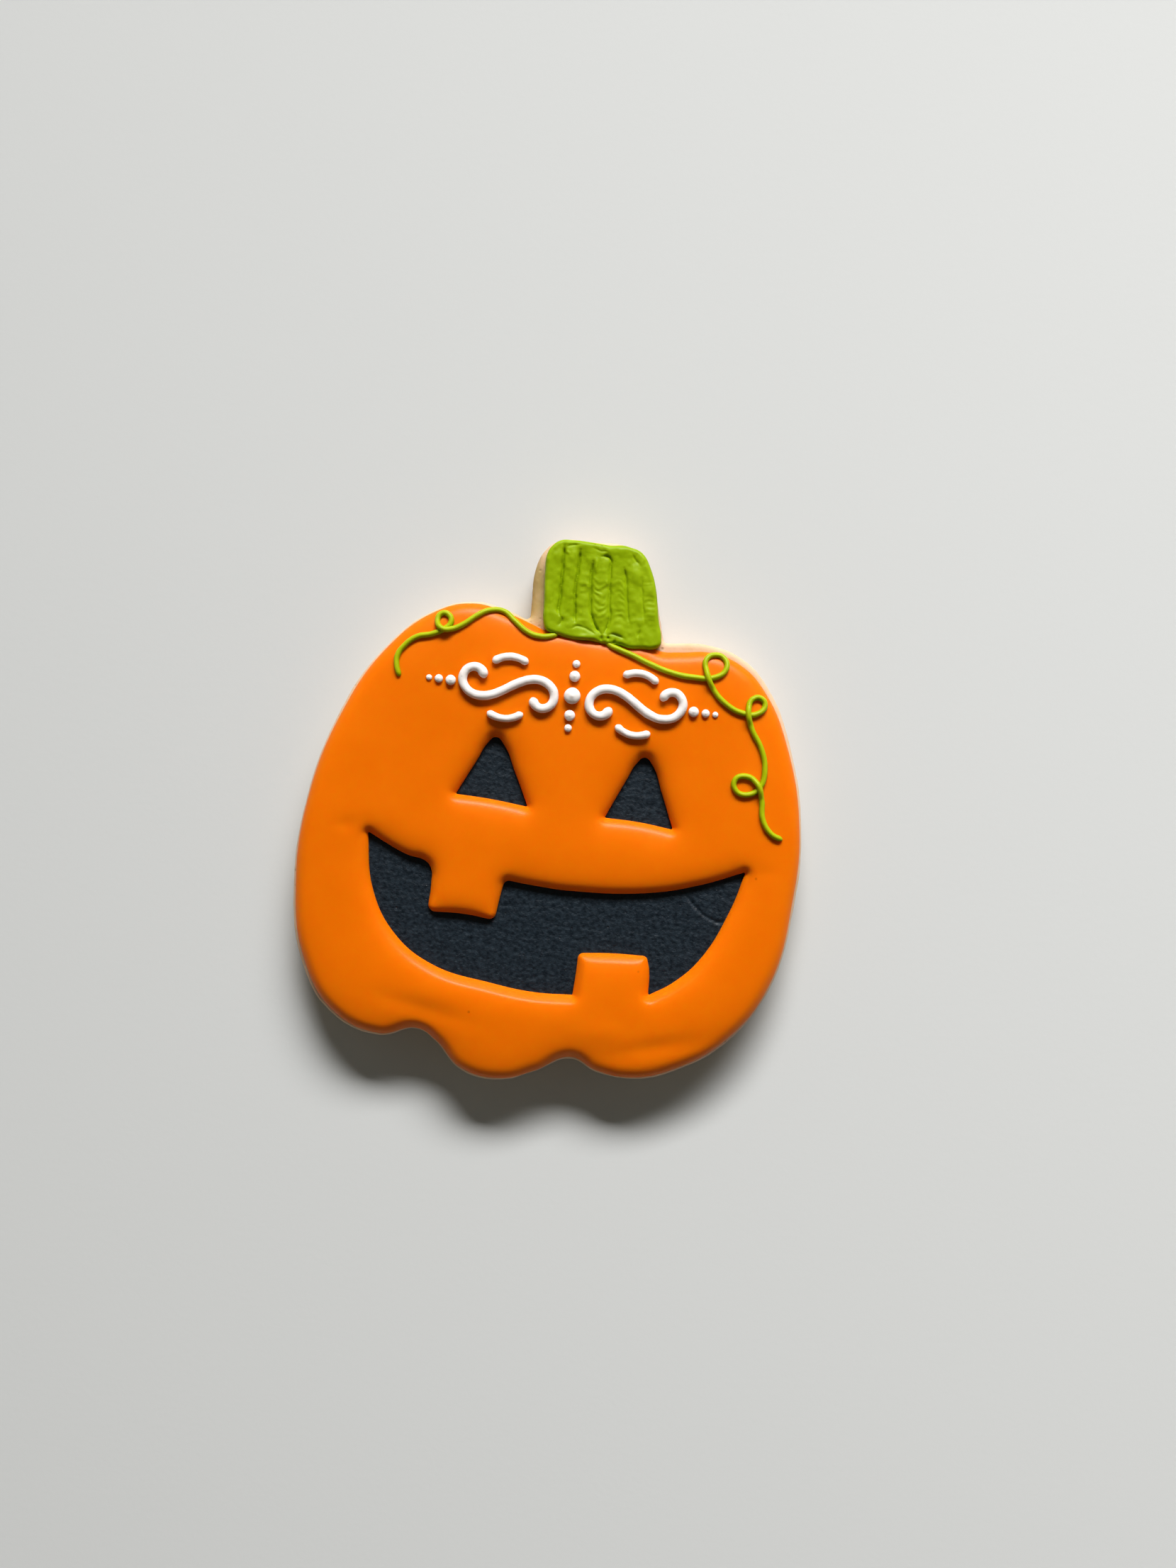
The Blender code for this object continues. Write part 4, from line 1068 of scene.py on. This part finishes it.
def stemHeight(rim, points):
    look = stem
    inland = np.clip(rimDistance([rim], points) / look["roll"], 0, 1)
    height = look["lip"] + look["rise"] * np.sqrt(1 - (1 - inland) ** 2)
    wander = np.c_[softNoise(points, 0.9, 5), softNoise(points, 0.9, 6)] * look["wander"]
    carved = np.zeros(len(points))
    for route, depth in look["grooves"]:
        gap, _, ends = alongRoute(route, 0.3, points + wander)
        profile = 0.68 * np.exp(-(gap / look["grooveWidth"]) ** 1.2) + 0.32 * np.exp(-gap / look["grooveSlope"])
        carved = np.maximum(carved, look["grooveDepth"] * depth * profile * (0.25 + 0.75 * ends))
    height -= carved
    for route, rise in look["threads"]:
        gap, _, ends = alongRoute(route, 0.3, points + wander)
        height += rise * np.exp(-(gap / look["threadWidth"]) ** 2) * ends
    for place, length, width, rise in look["swells"]:
        height += rise * np.exp(-(((points - place) / (length, width)) ** 2).sum(1) ** 1.5)
    for number, (route, half, rise, spacing, bow) in enumerate(look["ripples"]):
        gap, along, ends = alongRoute(route, 0.5, points)
        wobble = 0.35 * softNoise(points, 1.3, 20 + number)
        wave = np.sin(math.tau * ((along + bow * gap ** 2) / spacing + wobble))
        patchy = np.clip(0.6 + 0.8 * softNoise(points, 2.0, 40 + number), 0, 1.3)
        height += rise * wave * patchy * ends * np.clip(1.6 * (1 - gap / half), 0, 1)
    for rise, size, seed in look["lumps"]:
        height += rise * softNoise(points, size, seed)
    return biscuit["thickness"] + height


def pipeStem():
    look = stem
    thick, lip = biscuit["thickness"], look["lip"]
    rim = traceLine(look["outline"], look["rimStep"])
    points = sheetPoints([rim], look["rings"], look["step"])
    rows = [(inland, thick + share * lip) for inland, share in look["side"]] + [(0.25, thick - 0.4)]
    base = sheetPoints([movedInland(rim, rows[-1][0])], (), look["underStep"])
    mesh = slabMesh("stem", [rim], points, stemHeight(rim, points), rows, base, rows[-1][1])
    keepValues(mesh, "skin", np.ones(len(points)))
    addPiece("stem_strips", mesh, settledTree, {
        "Fine Height": 0.03 * mm, "Fine Size": 0.5 * mm, "Seed": 71.0, "Finish": icingFinish("green_stem_icing"),
    }, ["stem_icing"])
    print("stem piped,", len(points), "points")


def layTable():
    half = table["half"] * mm
    mesh = bpy.data.meshes.new("table")
    mesh.from_pydata([(-half, -half, 0), (half, -half, 0), (half, half, 0), (-half, half, 0)], [], [(0, 1, 2, 3)])
    mesh.materials.append(tableFinish())
    top = bpy.data.objects.new("table", mesh)
    scene.collection.objects.link(top)


setUpCamera()
setUpLight()
layTable()
settledTree = makeSettledTree()
pipedTree = makePipedTree()
beadTree = makeBeadTree()
skinGroup = makeSkinGroup()
tintGroup = makeTintGroup()
doughRim = bakeBiscuit()
icingRims = icingEdges()
pool = settlePool(icingRims)
floodOrange(icingRims)
paintFace()
pipeStem()
pipeTendrils(icingRims)
pipeFlourish(icingRims)
